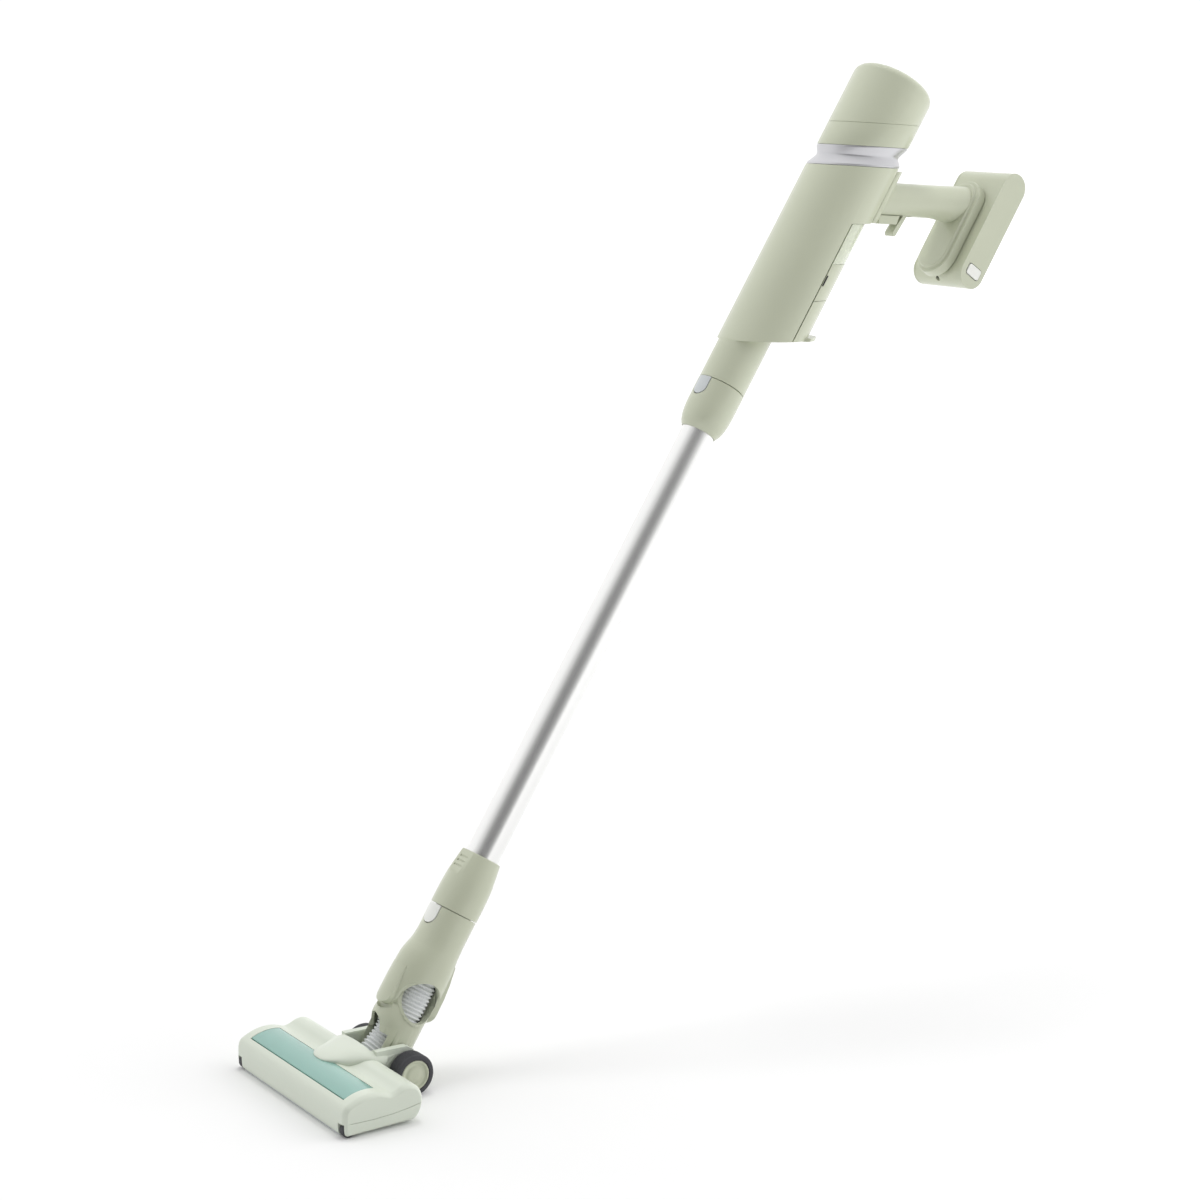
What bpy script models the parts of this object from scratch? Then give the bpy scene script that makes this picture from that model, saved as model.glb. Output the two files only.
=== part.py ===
"""Cordless stick vacuum cleaner, leaning back with its floor head flat on the floor.

Every length below is in millimetres and becomes metres when a mesh turns into an object.
World frame: X across the machine, -Y to the front, +Z up, floor at Z = 0, origin under the middle.
Stick frame: +Z runs up the wand's axis, +Y points to the rear of the stick, and the head's pitch
axle lies at Z = 0. Handle frame: +Y runs along the grip, from the body to the battery.
"""

import math

import bmesh
import bpy
from mathutils import Matrix, Vector

MM = 0.001
GAP = 0.3

# Stance
LEAN = math.radians(31.9)
PITCH_Y = -326.0
WHEEL_R = 21.0
STICK_FORWARD = 10.5

# Heights along the stick
SWIVEL_S = 63.0
LOWER_SEAM = 155.5
TUBE_LOW = 170.0
LOWER_COLLAR_TOP = 216.0
UPPER_COLLAR_LOW = 695.0
TUBE_TOP = 705.0
UPPER_SEAM = 748.0
BODY_LOW = 820.0
LATCH_TOP = 864.5
BIN_SPLIT = 907.5
BIN_TOP = 955.5
BODY_TOP = 1022.3
CAP_LOW = 1045.8
CAP_TOP = 1124.0

# Wand
TUBE_R = 17.5
TUBE_BORE = 16.3
COLLAR_R = 25.0
SPIGOT_R = 19.0
SPIGOT_BORE = 15.8
SOCKET_R = 19.4
SPIGOT_LONG = 40.0
BUTTON_HALF = 9.3
BUTTON_LONG = 21.0

# Main unit
BODY_T = 21.3
BODY_R = 44.2
BODY_BORE = 41.7
SLOPE = math.tan(math.radians(31.0))
DUCT_R = 24.8
DUCT_NECK_R = 18.6
DUCT_TOP = 884.0
PORT_S = 868.0
PORT_R = 11.0
BIN_R = 43.2
CUP_R = 40.8
CUP_WALL = 2.0
CUP_FRONT = BODY_T + 3.9
CYCLONE_T = 43.6
MOTOR_LOW = 990.0
MOTOR_TOP = 1058.0
MOTOR_R = 33.0

# Handle and battery
HANDLE_T = 84.4
HANDLE_S = 1021.2
HANDLE_TILT = math.radians(29.3)
HANDLE_R = 17.3
HANDLE_BORE = 14.8
DOCK_T = 172.0
BATTERY_T = 200.2
BATTERY_R = 16.5
BATTERY_BORE = 14.2
BATTERY_LOW = 1003.2
BATTERY_HIGH = 1107.2
BATTERY_HALF = 37.3
CELL_R = 9.2
CELL_LONG = 65.0
CELL_COUNT = 6
CELL_PITCH = 19.2

# Neck
NECK_R = 24.6
EYE_R = 26.0
EYE_HOLE = 20.5
HOSE_R = 17.5
HOSE_BORE = 15.0
LUG_INSIDE = 26.6
PIN_R = 4.0
BARREL_R = 16.5
BARREL_HALF = 25.5

# Floor head, measured from the pitch axle in Y and from the floor in Z
HEAD_HALF = 107.0
HEAD_FRONT = -110.0
HEAD_REAR = -24.0
SOLE_Z = 2.5
SPLIT_Z = 15.0
BRUSH_Y = -82.0
BRUSH_Z = 17.5
BRUSH_R = 16.5
BRUSH_CORE = 10.5
BRUSH_HALF = 90.0
MOTOR_Y = -46.0
MOTOR_Z = 20.0
BRUSH_MOTOR_R = 10.0
BRUSH_PULLEY_R = 8.0
MOTOR_PULLEY_R = 5.0
BELT_X = -97.0
BELT_WIDE = 5.0
ARM_IN = 26.2
ARM_OUT = 33.0
AXLE_R = 3.0
TRIGGER_PIVOT = (0, 21, -10.5)
WHEEL_IN = 34.5
WHEEL_OUT = 51.5
HUB_R = 15.4
ROLLER_R = 7.0
ROLLER_Y = -102.6
ROLLER_X = 99.8

PALE_GREEN = (0.62, 0.66, 0.52)
MATERIALS = {
    "shell": (PALE_GREEN, 0.42, 0.0),
    "silver": ((0.72, 0.72, 0.74), 0.25, 1.0),
    "aluminium": ((0.80, 0.80, 0.81), 0.22, 1.0),
    "teal": ((0.35, 0.62, 0.56), 0.12, 0.0),
    "smoke": ((0.60, 0.72, 0.60), 0.10, 0.0),
    "rubber": ((0.05, 0.05, 0.055), 0.70, 0.0),
    "hose": ((0.66, 0.68, 0.68), 0.50, 0.0),
    "button": ((0.80, 0.81, 0.78), 0.35, 0.0),
    "grey_button": ((0.50, 0.53, 0.56), 0.35, 0.0),
    "steel": ((0.55, 0.55, 0.56), 0.30, 1.0),
    "dark_plastic": ((0.07, 0.07, 0.075), 0.50, 0.0),
    "filter": ((0.82, 0.82, 0.78), 0.90, 0.0),
    "board": ((0.05, 0.25, 0.12), 0.45, 0.0),
    "cell": ((0.10, 0.30, 0.45), 0.35, 0.0),
    "bristle": ((0.20, 0.45, 0.40), 0.85, 0.0),
}


# ---------------------------------------------------------------- meshes


def finished(mesh):
    """The mesh with its faces pointing out."""
    bmesh.ops.recalc_face_normals(mesh, faces=mesh.faces)
    if mesh.calc_volume(signed=True) < 0:
        bmesh.ops.reverse_faces(mesh, faces=mesh.faces)
    return mesh


def joined(mesh, low, high):
    """Faces between two loops of points, either of which may be a single point."""
    count = max(len(low), len(high))
    for i in range(count):
        j = (i + 1) % count
        corners = [low[i % len(low)], low[j % len(low)], high[j % len(high)], high[i % len(high)]]
        mesh.faces.new(list(dict.fromkeys(corners)))


def turned(rings, segments=40, centre=0.0):
    """A turned body about X = 0, Y = centre. A ring is (radius, height) or (radius, height, slope).

    The rings close on themselves, unless they start and end on the axis. A slope tilts the ring's
    plane, so that its height grows towards the rear.
    """
    mesh = bmesh.new()
    loops = []
    for radius, height, *slope in rings:
        loop = []
        for i in range(segments if radius else 1):
            angle = math.tau * (i + 0.5) / segments
            y = radius * math.cos(angle)
            lift = slope[0] * y if slope else 0.0
            loop.append(mesh.verts.new((radius * math.sin(angle), centre + y, height + lift)))
        loops.append(loop)
    following = loops[1:] + (loops[:1] if rings[0][0] else [])
    for low, high in zip(loops, following):
        joined(mesh, low, high)
    return finished(mesh)


def layered(loops):
    """A closed body through loops of points that lie one above the other."""
    mesh = bmesh.new()
    rows = [[mesh.verts.new(point) for point in loop] for loop in loops]
    for low, high in zip(rows, rows[1:]):
        joined(mesh, low, high)
    mesh.faces.new(rows[0])
    mesh.faces.new(rows[-1])
    return finished(mesh)


def prism(outline, low, high, along):
    """An outline extruded along an axis: (y, z) along x, (x, z) along y, (x, y) along z."""
    place = {
        "x": lambda a, b, c: (c, a, b),
        "y": lambda a, b, c: (a, c, b),
        "z": lambda a, b, c: (a, b, c),
    }[along]
    return layered([[place(a, b, c) for a, b in outline] for c in (low, high)])


def sheared(outline, low, high):
    """An (x, y) outline between two planes that rise to the rear, as the body's ends do."""
    return layered([[(x, y, s + SLOPE * (y - BODY_T)) for x, y in outline] for s in (low, high)])


def box(low, high):
    outline = [(low[0], low[1]), (high[0], low[1]), (high[0], high[1]), (low[0], high[1])]
    return prism(outline, low[2], high[2], "z")


def arc(a, b, radius, start, end, count=8):
    """Points on an arc about (a, b), from start to end in degrees."""
    angles = [math.radians(start + (end - start) * i / count) for i in range(count + 1)]
    return [(a + radius * math.cos(t), b + radius * math.sin(t)) for t in angles]


def rounded(half, low, high, radius, count=6):
    """A rounded rectangle, half to each side of the middle and from low to high."""
    right = arc(half - radius, low + radius, radius, -90, 0, count)
    right += arc(half - radius, high - radius, radius, 0, 90, count)
    return right + [(-a, b) for a, b in reversed(right)]


def tongue(half, low, high):
    """A U shape: straight at the top, round at the bottom."""
    return arc(0, low + half, half, 180, 360, 10) + [(half, high), (-half, high)]


def rear_arc(radius, reach=88.0, count=20):
    """Points of the body's rear side, from right to left, in (x, y)."""
    return arc(0, BODY_T, radius, 90 - reach, 90 + reach, count)


def rear_shell(inner, outer, low, high, reach=88.0):
    """A curved panel of the body's rear side between two sloping planes."""
    outline = rear_arc(outer, reach) + rear_arc(inner, reach)[::-1]
    return sheared(outline, low, high)


def rod(radius, low, high, segments=16):
    """A round bar along Z."""
    return turned([(0, low), (radius, low), (radius, high), (0, high)], segments)


def moved(mesh, matrix):
    mesh.transform(matrix)
    return mesh


def along_y(mesh, at=(0, 0, 0)):
    """The mesh laid down, so that what ran up Z runs along +Y."""
    return moved(mesh, Matrix.Translation(at) @ Matrix.Rotation(-math.pi / 2, 4, "X"))


def along_x(mesh, at=(0, 0, 0)):
    """The mesh laid down, so that what ran up Z runs along +X."""
    return moved(mesh, Matrix.Translation(at) @ Matrix.Rotation(math.pi / 2, 4, "Y"))


HANDLE = Matrix.Translation((0, HANDLE_T, HANDLE_S)) @ Matrix.Rotation(HANDLE_TILT, 4, "X")


# ---------------------------------------------------------------- objects


def clear_scene():
    for obj in list(bpy.data.objects):
        bpy.data.objects.remove(obj)


def material(name):
    found = bpy.data.materials.get(name)
    if found:
        return found
    colour, roughness, metallic = MATERIALS[name]
    made = bpy.data.materials.new(name)
    made.use_nodes = True
    shader = made.node_tree.nodes["Principled BSDF"]
    shader.inputs["Base Color"].default_value = (*colour, 1)
    shader.inputs["Roughness"].default_value = roughness
    shader.inputs["Metallic"].default_value = metallic
    return made


def frame(name, at, tilt=0.0, parent=None):
    """An empty whose X axis is the machine's, at a point in millimetres."""
    empty = bpy.data.objects.new(name, None)
    bpy.context.scene.collection.objects.link(empty)
    empty.location = Vector(at) * MM
    empty.rotation_euler = (tilt, 0, 0)
    empty.parent = parent
    return empty


def placed(name, mesh, parent, origin):
    """An object from a mesh in millimetres, with its origin at a point of the parent's frame."""
    bmesh.ops.translate(mesh, verts=mesh.verts, vec=-Vector(origin))
    bmesh.ops.scale(mesh, verts=mesh.verts, vec=(MM, MM, MM))
    data = bpy.data.meshes.new(name)
    mesh.to_mesh(data)
    mesh.free()
    obj = bpy.data.objects.new(name, data)
    bpy.context.scene.collection.objects.link(obj)
    obj.parent = parent
    obj.location = Vector(origin) * MM
    return obj


def solid(name, mesh, finish, parent, origin=(0, 0, 0)):
    obj = placed(name, mesh, parent, origin)
    obj.data.materials.append(material(finish))
    obj.data.shade_smooth()
    obj.data.set_sharp_from_angle(angle=math.radians(35))
    return obj


def combine(obj, operation, *meshes):
    """Boolean modifiers on an object, each with a helper that stays out of the model."""
    for mesh in meshes:
        tool = placed(f"{obj.name}_{operation.lower()}", mesh, obj.parent, (0, 0, 0))
        tool.hide_render = True
        tool.display_type = "WIRE"
        modifier = obj.modifiers.new(operation.title(), "BOOLEAN")
        modifier.operation = operation
        modifier.solver = "EXACT"
        modifier.object = tool
    return obj


def cut(obj, *meshes):
    return combine(obj, "DIFFERENCE", *meshes)


def fuse(obj, *meshes):
    return combine(obj, "UNION", *meshes)


def keep(obj, *meshes):
    return combine(obj, "INTERSECT", *meshes)


# ---------------------------------------------------------------- main unit


def body_shell(stick):
    shell = turned(
        [
            (BODY_R, BODY_LOW, SLOPE),
            (BODY_R, BODY_TOP, SLOPE),
            (BODY_BORE, BODY_TOP, SLOPE),
            (BODY_BORE, BODY_LOW, SLOPE),
        ],
        48,
        BODY_T,
    )
    bay_top = [(y, BIN_TOP + SLOPE * (y - BODY_T)) for y in (90.0, BODY_T - 0.4)]
    bay = prism([(BODY_T - 0.4, 700), (90, 700), *bay_top], -60, 60, "x")
    body = cut(solid("body_shell", shell, "shell", stick), bay)
    floor = arc(0, BODY_T, 43, -179, -1, 24) + [(40.7, 20.5), (40.5, 24.8), (-40.5, 24.8), (-40.7, 20.5)]
    fuse(body, sheared(floor, BODY_LOW, BODY_LOW + 3))
    cut(body, rod(DUCT_NECK_R + GAP, 700, 900, 36))


def waist_band(stick):
    profile = [(43.8, 0.4), (43.8, 2.0), (39.2, 11.0), (39.2, 14.0), (43.3, 23.1), (37.0, 23.1)]
    rings = [(radius, BODY_TOP + rise, SLOPE) for radius, rise in profile + [(37.0, 0.4)]]
    solid("waist_band", turned(rings, 48, BODY_T), "silver", stick)


def top_cap(stick):
    rim = arc(0, 0, 10, 0, 90, 4)
    outer = [(33.3 + a, CAP_TOP - 10 + b) for a, b in rim]
    inner = [(40.8, CAP_TOP - 12), (32, CAP_TOP - 3), (0, CAP_TOP - 3)]
    rings = [(0, CAP_TOP), *outer[::-1], (43.3, CAP_LOW, SLOPE), (40.8, CAP_LOW, SLOPE), *inner]
    solid("top_cap", turned(rings, 48, BODY_T), "shell", stick)


def exhaust_filter(stick):
    """A pleated filter ring that lifts off with the cap."""
    mesh = bmesh.new()
    pleats = 24
    rows = []
    for height in (1076, 1110):
        outer = []
        inner = []
        for i in range(2 * pleats):
            angle = math.pi * i / pleats
            radius = 37.0 if i % 2 else 33.0
            outer.append((radius * math.sin(angle), BODY_T + radius * math.cos(angle), height))
            inner.append((22 * math.sin(angle), BODY_T + 22 * math.cos(angle), height))
        rows.append([[mesh.verts.new(point) for point in loop] for loop in (outer, inner)])
    (outer_low, inner_low), (outer_high, inner_high) = rows
    joined(mesh, outer_low, outer_high)
    joined(mesh, outer_high, inner_high)
    joined(mesh, inner_high, inner_low)
    joined(mesh, inner_low, outer_low)
    solid("exhaust_filter", finished(mesh), "filter", stick)


def suction_motor(stick):
    low, top = MOTOR_LOW, MOTOR_TOP
    can = [(12, low), (MOTOR_R, low), (MOTOR_R, top), (10, top)]
    can += [(10, top - 2), (MOTOR_R - 2, top - 2), (MOTOR_R - 2, low + 2), (12, low + 2)]
    solid("motor_housing", turned(can, 32, BODY_T), "dark_plastic", stick)
    stator = [(20, low + 28), (20, low + 58), (4, low + 58), (4, low + 28)]
    solid("motor_stator", turned(stator, 24, BODY_T), "steel", stick)
    floor = [(41.3, BIN_TOP + 3, SLOPE), (41.3, BIN_TOP + 6, SLOPE)]
    floor += [(12, BIN_TOP + 6, SLOPE), (12, BIN_TOP + 3, SLOPE)]
    solid("chamber_plate", turned(floor, 36, BODY_T), "shell", stick)


def impeller(stick):
    """A bladed wheel on the motor's shaft."""
    blades = 9
    outline = []
    for i in range(blades):
        start = math.tau * i / blades
        for radius, lead in ((11, 0.0), (27, 0.30), (27, 0.42), (11, 0.34)):
            angle = start + lead
            outline.append((radius * math.cos(angle), BODY_T + radius * math.sin(angle)))
    wheel = prism(outline, MOTOR_LOW + 6, MOTOR_LOW + 16, "z")
    origin = (0, BODY_T, MOTOR_LOW)
    obj = solid("impeller", wheel, "silver", stick, origin)
    low, top = MOTOR_LOW + 4, MOTOR_TOP + 4
    hub = [(0, low), (28, low), (28, low + 3), (12, low + 14), (3, low + 20), (3, top), (0, top)]
    fuse(obj, turned(hub, 24, BODY_T))


def control_board(stick):
    board = box((-13, BODY_T + 36, 1000), (13, BODY_T + 37.6, 1040))
    solid("control_board", board, "board", stick)


def inlet_duct(stick):
    """The suction pipe: a spigot for the wand below, a neck with a rear port inside the body."""
    shoulder = BODY_LOW - GAP - SLOPE * BODY_T
    rings = [
        (0, DUCT_TOP - 2.5),
        (SPIGOT_BORE, DUCT_TOP - 2.5),
        (SPIGOT_BORE, UPPER_SEAM - SPIGOT_LONG),
        (SPIGOT_R, UPPER_SEAM - SPIGOT_LONG),
        (SPIGOT_R, UPPER_SEAM),
        (DUCT_R, UPPER_SEAM),
        (DUCT_R, shoulder, SLOPE),
        (DUCT_NECK_R, shoulder, SLOPE),
        (DUCT_NECK_R, DUCT_TOP),
        (0, DUCT_TOP),
    ]
    duct = solid("inlet_duct", turned(rings, 40), "shell", stick)
    cut(duct, along_y(rod(PORT_R, 8, 30, 20), (0, 0, PORT_S)))


def dust_bin(stick):
    outer = rear_arc(CUP_R, 84) + [(-CUP_R + 0.5, CUP_FRONT), (CUP_R - 0.5, CUP_FRONT)]
    cup = solid("bin_cup", sheared(outer, BODY_LOW, BIN_TOP), "smoke", stick)
    bore = CUP_R - CUP_WALL
    hollow = arc(0, BODY_T, bore, 6, 174, 20)
    hollow[0] = (hollow[0][0], CUP_FRONT + CUP_WALL)
    hollow[-1] = (hollow[-1][0], CUP_FRONT + CUP_WALL)
    cut(cup, sheared(hollow, BODY_LOW + 2.5, BIN_TOP + 20))
    window_side = [(-60, BODY_T + 5.5), (60, BODY_T + 5.5), (60, 90), (-60, 90)]
    cut(cup, sheared(window_side, BIN_SPLIT, BIN_TOP + 20))
    cut(cup, along_y(rod(PORT_R + 0.5, 20, 32, 20), (0, 0, PORT_S)))
    skin = CUP_R + GAP
    window = rear_shell(skin, BIN_R, BIN_SPLIT + GAP, BIN_TOP - GAP)
    solid("bin_window", window, "smoke", stick)
    panel = rear_shell(skin, BIN_R, LATCH_TOP + GAP, BIN_SPLIT)
    solid("bin_panel", panel, "shell", stick)
    hinge = (0, BODY_T + BIN_R, LATCH_TOP + SLOPE * BIN_R)
    latch = solid("bin_latch", rear_shell(skin, BIN_R, BODY_LOW, LATCH_TOP), "shell", stick, hinge)
    lip = sheared([(9, 62.8), (9, 69.5), (-9, 69.5), (-9, 62.8)], BODY_LOW + 1, BODY_LOW + 4)
    fuse(latch, lip)


def cyclone(stick):
    """The cone that spins the dust out, and the mesh sleeve round its outlet."""
    cone = [(13.8, 955), (13.8, 915), (8.5, 862), (7, 862), (12.3, 916), (12.3, 955)]
    solid("cyclone_cone", turned(cone, 28, CYCLONE_T), "dark_plastic", stick)
    sleeve = [(15.9, 955), (15.9, 925), (14.3, 925), (14.3, 955)]
    solid("mesh_sleeve", turned(sleeve, 28, CYCLONE_T), "steel", stick)


# ---------------------------------------------------------------- handle and battery


def handle_grip(stick):
    saddle = rear_shell(42.0, 47.2, BIN_TOP + 0.6, BODY_TOP - 8, 37)
    grip = solid("handle_grip", saddle, "shell", stick)
    tube = [(0, -22), (HANDLE_R, -22), (HANDLE_R, 120), (HANDLE_BORE, 120), (HANDLE_BORE, -13), (0, -13)]
    fuse(grip, moved(along_y(turned(tube, 32)), HANDLE))
    core = rod(BODY_R + GAP, 880, 1140, 64)
    cut(grip, moved(core, Matrix.Translation((0, BODY_T, 0))))
    cut(grip, box((-40, DOCK_T - GAP, 1000), (40, DOCK_T + 60, 1200)))
    cut(grip, moved(box((-6.8, 12, -22), (6.8, 28, -6)), HANDLE))


def battery_dock(stick):
    plate = prism(rounded(23.5, 986, 1098, 22.5), DOCK_T, BATTERY_T - BATTERY_R - GAP, "y")
    solid("battery_dock", plate, "shell", stick)


def lock_slider(handle):
    block = [(-19, -25.3), (6.2, -25.3), (9.6, -17.7), (-19, -17.7)]
    solid("lock_slider", prism(block, -7.5, 7.5, "x"), "button", handle, (0, -5, -21))


def trigger(handle):
    front = [(15, -7.5), (14.6, -17.5), (11, -22), (7.8, -26.9), (4.6, -30.8), (3.1, -34.2)]
    back = [(3.2, -36.8), (4.8, -38.4), (6.6, -37.6), (8.6, -34.8), (12.5, -29), (16.2, -23.2)]
    back += [(20.2, -17.5), (25.5, -14.5), (25.5, -7.5)]
    lever = prism(front + back, -6.2, 6.2, "x")
    lever = solid("trigger", lever, "shell", handle, TRIGGER_PIVOT)
    cut(lever, along_x(rod(1.8, -9, 9, 12), TRIGGER_PIVOT))
    pin = along_x(rod(1.5, -8.2, 8.2, 12), TRIGGER_PIVOT)
    solid("trigger_pin", pin, "steel", handle, TRIGGER_PIVOT)
    solid("trigger_switch", box((-4, 16, -6), (4, 28, 1)), "dark_plastic", handle, (0, 22, -3))


def stadium(radius):
    """The battery's side outline in (y, z)."""
    low = arc(BATTERY_T, BATTERY_LOW, radius, 180, 360, 12)
    return low + arc(BATTERY_T, BATTERY_HIGH, radius, 0, 180, 12)


def battery(stick):
    case = solid("battery_case", prism(stadium(BATTERY_R), -34, BATTERY_HALF, "x"), "shell", stick)
    cut(case, prism(stadium(BATTERY_BORE), -50, 31.5, "x"))
    pocket = rounded(6.3, -10.3, 10.3, 3)
    cut(case, prism([(b + 201, a + 1005.5) for a, b in pocket], 33, 50, "x"))
    cut(case, moved(rod(3.8, 970, 999, 12), Matrix.Translation((0, 192, 0))))
    solid("battery_end", prism(stadium(BATTERY_R), -BATTERY_HALF, -34 - GAP, "x"), "shell", stick)
    key = prism([(b + 201, a + 1005.5) for a, b in rounded(6, -10, 10, 2.8)], 35.2, 38.3, "x")
    solid("battery_button", key, "button", stick, (36, 201, 1005.5))
    socket = turned([(0, 991), (1.5, 991), (1.5, 988.6), (3.5, 988.6), (3.5, 996), (0, 996)], 12)
    solid("charge_socket", moved(socket, Matrix.Translation((0, 192, 0))), "dark_plastic", stick)
    for i in range(CELL_COUNT):
        s = (BATTERY_LOW + BATTERY_HIGH) / 2 + 4 + CELL_PITCH * (i - (CELL_COUNT - 1) / 2)
        cell = along_x(rod(CELL_R, -32.5, -32.5 + CELL_LONG - 2, 20), (0, BATTERY_T, s))
        solid(f"cell_{i + 1}", cell, "cell", stick)


# ---------------------------------------------------------------- wand


def release_key(name, low, finish, stick):
    """A U-shaped key in the front of a collar or neck, bent to the wall that it sits in."""
    top = low + BUTTON_LONG
    block = prism(tongue(BUTTON_HALF - GAP, low + GAP, top - GAP), -30, -10, "y")
    key = solid(name, block, finish, stick, (0, -COLLAR_R, low + BUTTON_LONG / 2))
    keep(key, turned([(COLLAR_R + 0.3, low - 9), (COLLAR_R + 0.3, top + 9), (22, top + 9), (22, low - 9)], 48))


def key_slot(low):
    return prism(tongue(BUTTON_HALF, low, low + BUTTON_LONG + 5), -32, -15, "y")


def wand(stick):
    tube = [(TUBE_R, TUBE_LOW), (TUBE_R, TUBE_TOP), (TUBE_BORE, TUBE_TOP), (TUBE_BORE, TUBE_LOW)]
    solid("wand_tube", turned(tube, 32), "aluminium", stick)
    inside = TUBE_R + GAP
    seam = UPPER_SEAM - GAP
    floor = UPPER_SEAM - SPIGOT_LONG - 1.5
    upper = [(18.7, UPPER_COLLAR_LOW), (21.6, 700), (24.0, 712), (COLLAR_R, 724), (COLLAR_R, seam)]
    upper += [(SOCKET_R, seam), (SOCKET_R, floor), (inside, floor), (inside, UPPER_COLLAR_LOW)]
    collar = solid("upper_collar", turned(upper, 40), "shell", stick)
    cut(collar, key_slot(UPPER_SEAM - BUTTON_LONG))
    foot = LOWER_SEAM - SPIGOT_LONG
    lower = [(SPIGOT_R, foot), (SPIGOT_R, LOWER_SEAM), (COLLAR_R, LOWER_SEAM), (24.4, 190)]
    lower += [(20.2, LOWER_COLLAR_TOP), (inside, LOWER_COLLAR_TOP), (inside, TUBE_LOW - 1)]
    lower += [(SPIGOT_BORE, TUBE_LOW - 1), (SPIGOT_BORE, foot)]
    collar = solid("lower_collar", turned(lower, 40), "shell", stick)
    facet = [(-40, 196), (-25.2, 196), (-19.4, 218), (-40, 218)]
    cut(collar, prism(facet, -30, 30, "x"))
    release_key("wand_release_button", UPPER_SEAM - BUTTON_LONG, "grey_button", stick)


# ---------------------------------------------------------------- neck


def oval(s, half, front, rear, segments=44):
    """A loop of the neck: half wide to each side, and as deep to the front and rear as stated."""
    loop = []
    for i in range(segments):
        angle = math.tau * i / segments
        depth = rear if math.cos(angle) > 0 else front
        loop.append((half * math.sin(angle), depth * math.cos(angle), s))
    return loop


def neck_upper(stick):
    top = LOWER_SEAM - GAP
    sections = [
        oval(44, 25.5, 31.0, 29.5),
        oval(80, 25.8, 31.5, 29.0),
        oval(110, 25.2, 30.5, 26.5),
        oval(126, NECK_R, NECK_R, NECK_R),
        oval(top, NECK_R, NECK_R, NECK_R),
    ]
    neck = solid("neck_upper", layered(sections), "shell", stick)
    lugs = arc(0, 60, 14, 180, 360, 12) + [(15, 70), (30, 92), (30, 170), (-30, 170), (-30, 92), (-15, 70)]
    keep(neck, prism(lugs, -40, 40, "y"))
    cut(neck, along_y(rod(EYE_R + 1.2, -LUG_INSIDE, LUG_INSIDE, 48), (0, 0, SWIVEL_S)))
    arch = [(-19, 30), (19, 30), *arc(0, SWIVEL_S - 3, 19, 0, 180, 14)]
    cut(neck, prism(arch, -40, 40, "x"))
    floor = LOWER_SEAM - SPIGOT_LONG - 1.5
    bore = [(0, 60), (HOSE_R + 0.6, 60), (HOSE_R + 0.6, floor), (SOCKET_R, floor), (SOCKET_R, 170), (0, 170)]
    cut(neck, turned(bore, 40))
    cut(neck, key_slot(LOWER_SEAM - BUTTON_LONG))
    cut(neck, along_y(rod(PIN_R + GAP, -50, 50, 20), (0, 0, SWIVEL_S)))
    release_key("head_release_button", LOWER_SEAM - BUTTON_LONG, "button", stick)
    cuff = [(HOSE_R, 100.5), (HOSE_R, 113.5), (SPIGOT_BORE, 113.5), (SPIGOT_BORE, 100.5)]
    solid("hose_cuff", turned(cuff, 32), "dark_plastic", stick)
    for name, low, high in (("swivel_pin_front", -30.4, -21.4), ("swivel_pin_rear", 21.4, 28.4)):
        pin = along_y(rod(PIN_R, low, high, 20), (0, 0, SWIVEL_S))
        solid(name, pin, "steel", stick, (0, 0, SWIVEL_S))


def neck_lower(stick):
    """The elbow: an eye round the swivel pins above, two cheeks on the pitch axles below."""
    swivel = (0, 0, SWIVEL_S)
    elbow = solid("neck_lower", rod(EYE_R - 0.6, 38, 100, 48), "shell", stick, swivel)
    keep(elbow, along_y(rod(EYE_R, -35, 35, 44), swivel))
    fuse(elbow, rod(NECK_R, 2, SWIVEL_S - 4, 40))
    barrel = along_x(rod(BARREL_R, -BARREL_HALF, BARREL_HALF, 36), (0, STICK_FORWARD, 0))
    fuse(elbow, barrel)
    cut(elbow, rod(HOSE_R + 1.0, 16, 110, 36))
    cut(elbow, along_x(rod(EYE_HOLE, -40, 40, 36), (0, 0, SWIVEL_S)))
    cut(elbow, along_y(rod(PIN_R + GAP, -50, 50, 20), swivel))
    cut(elbow, box((-18.6, -40, -20), (18.6, 20, 24)))
    mouth = [(18.5, -30), (18.5, 8), (13, 30), *arc(0, 34, 8, 0, 180, 8), (-13, 30), (-18.5, 8), (-18.5, -30)]
    cut(elbow, prism(mouth, -40, -6, "y"))
    cut(elbow, along_x(rod(AXLE_R + GAP, -40, 40, 20), (0, STICK_FORWARD, 0)))


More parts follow.
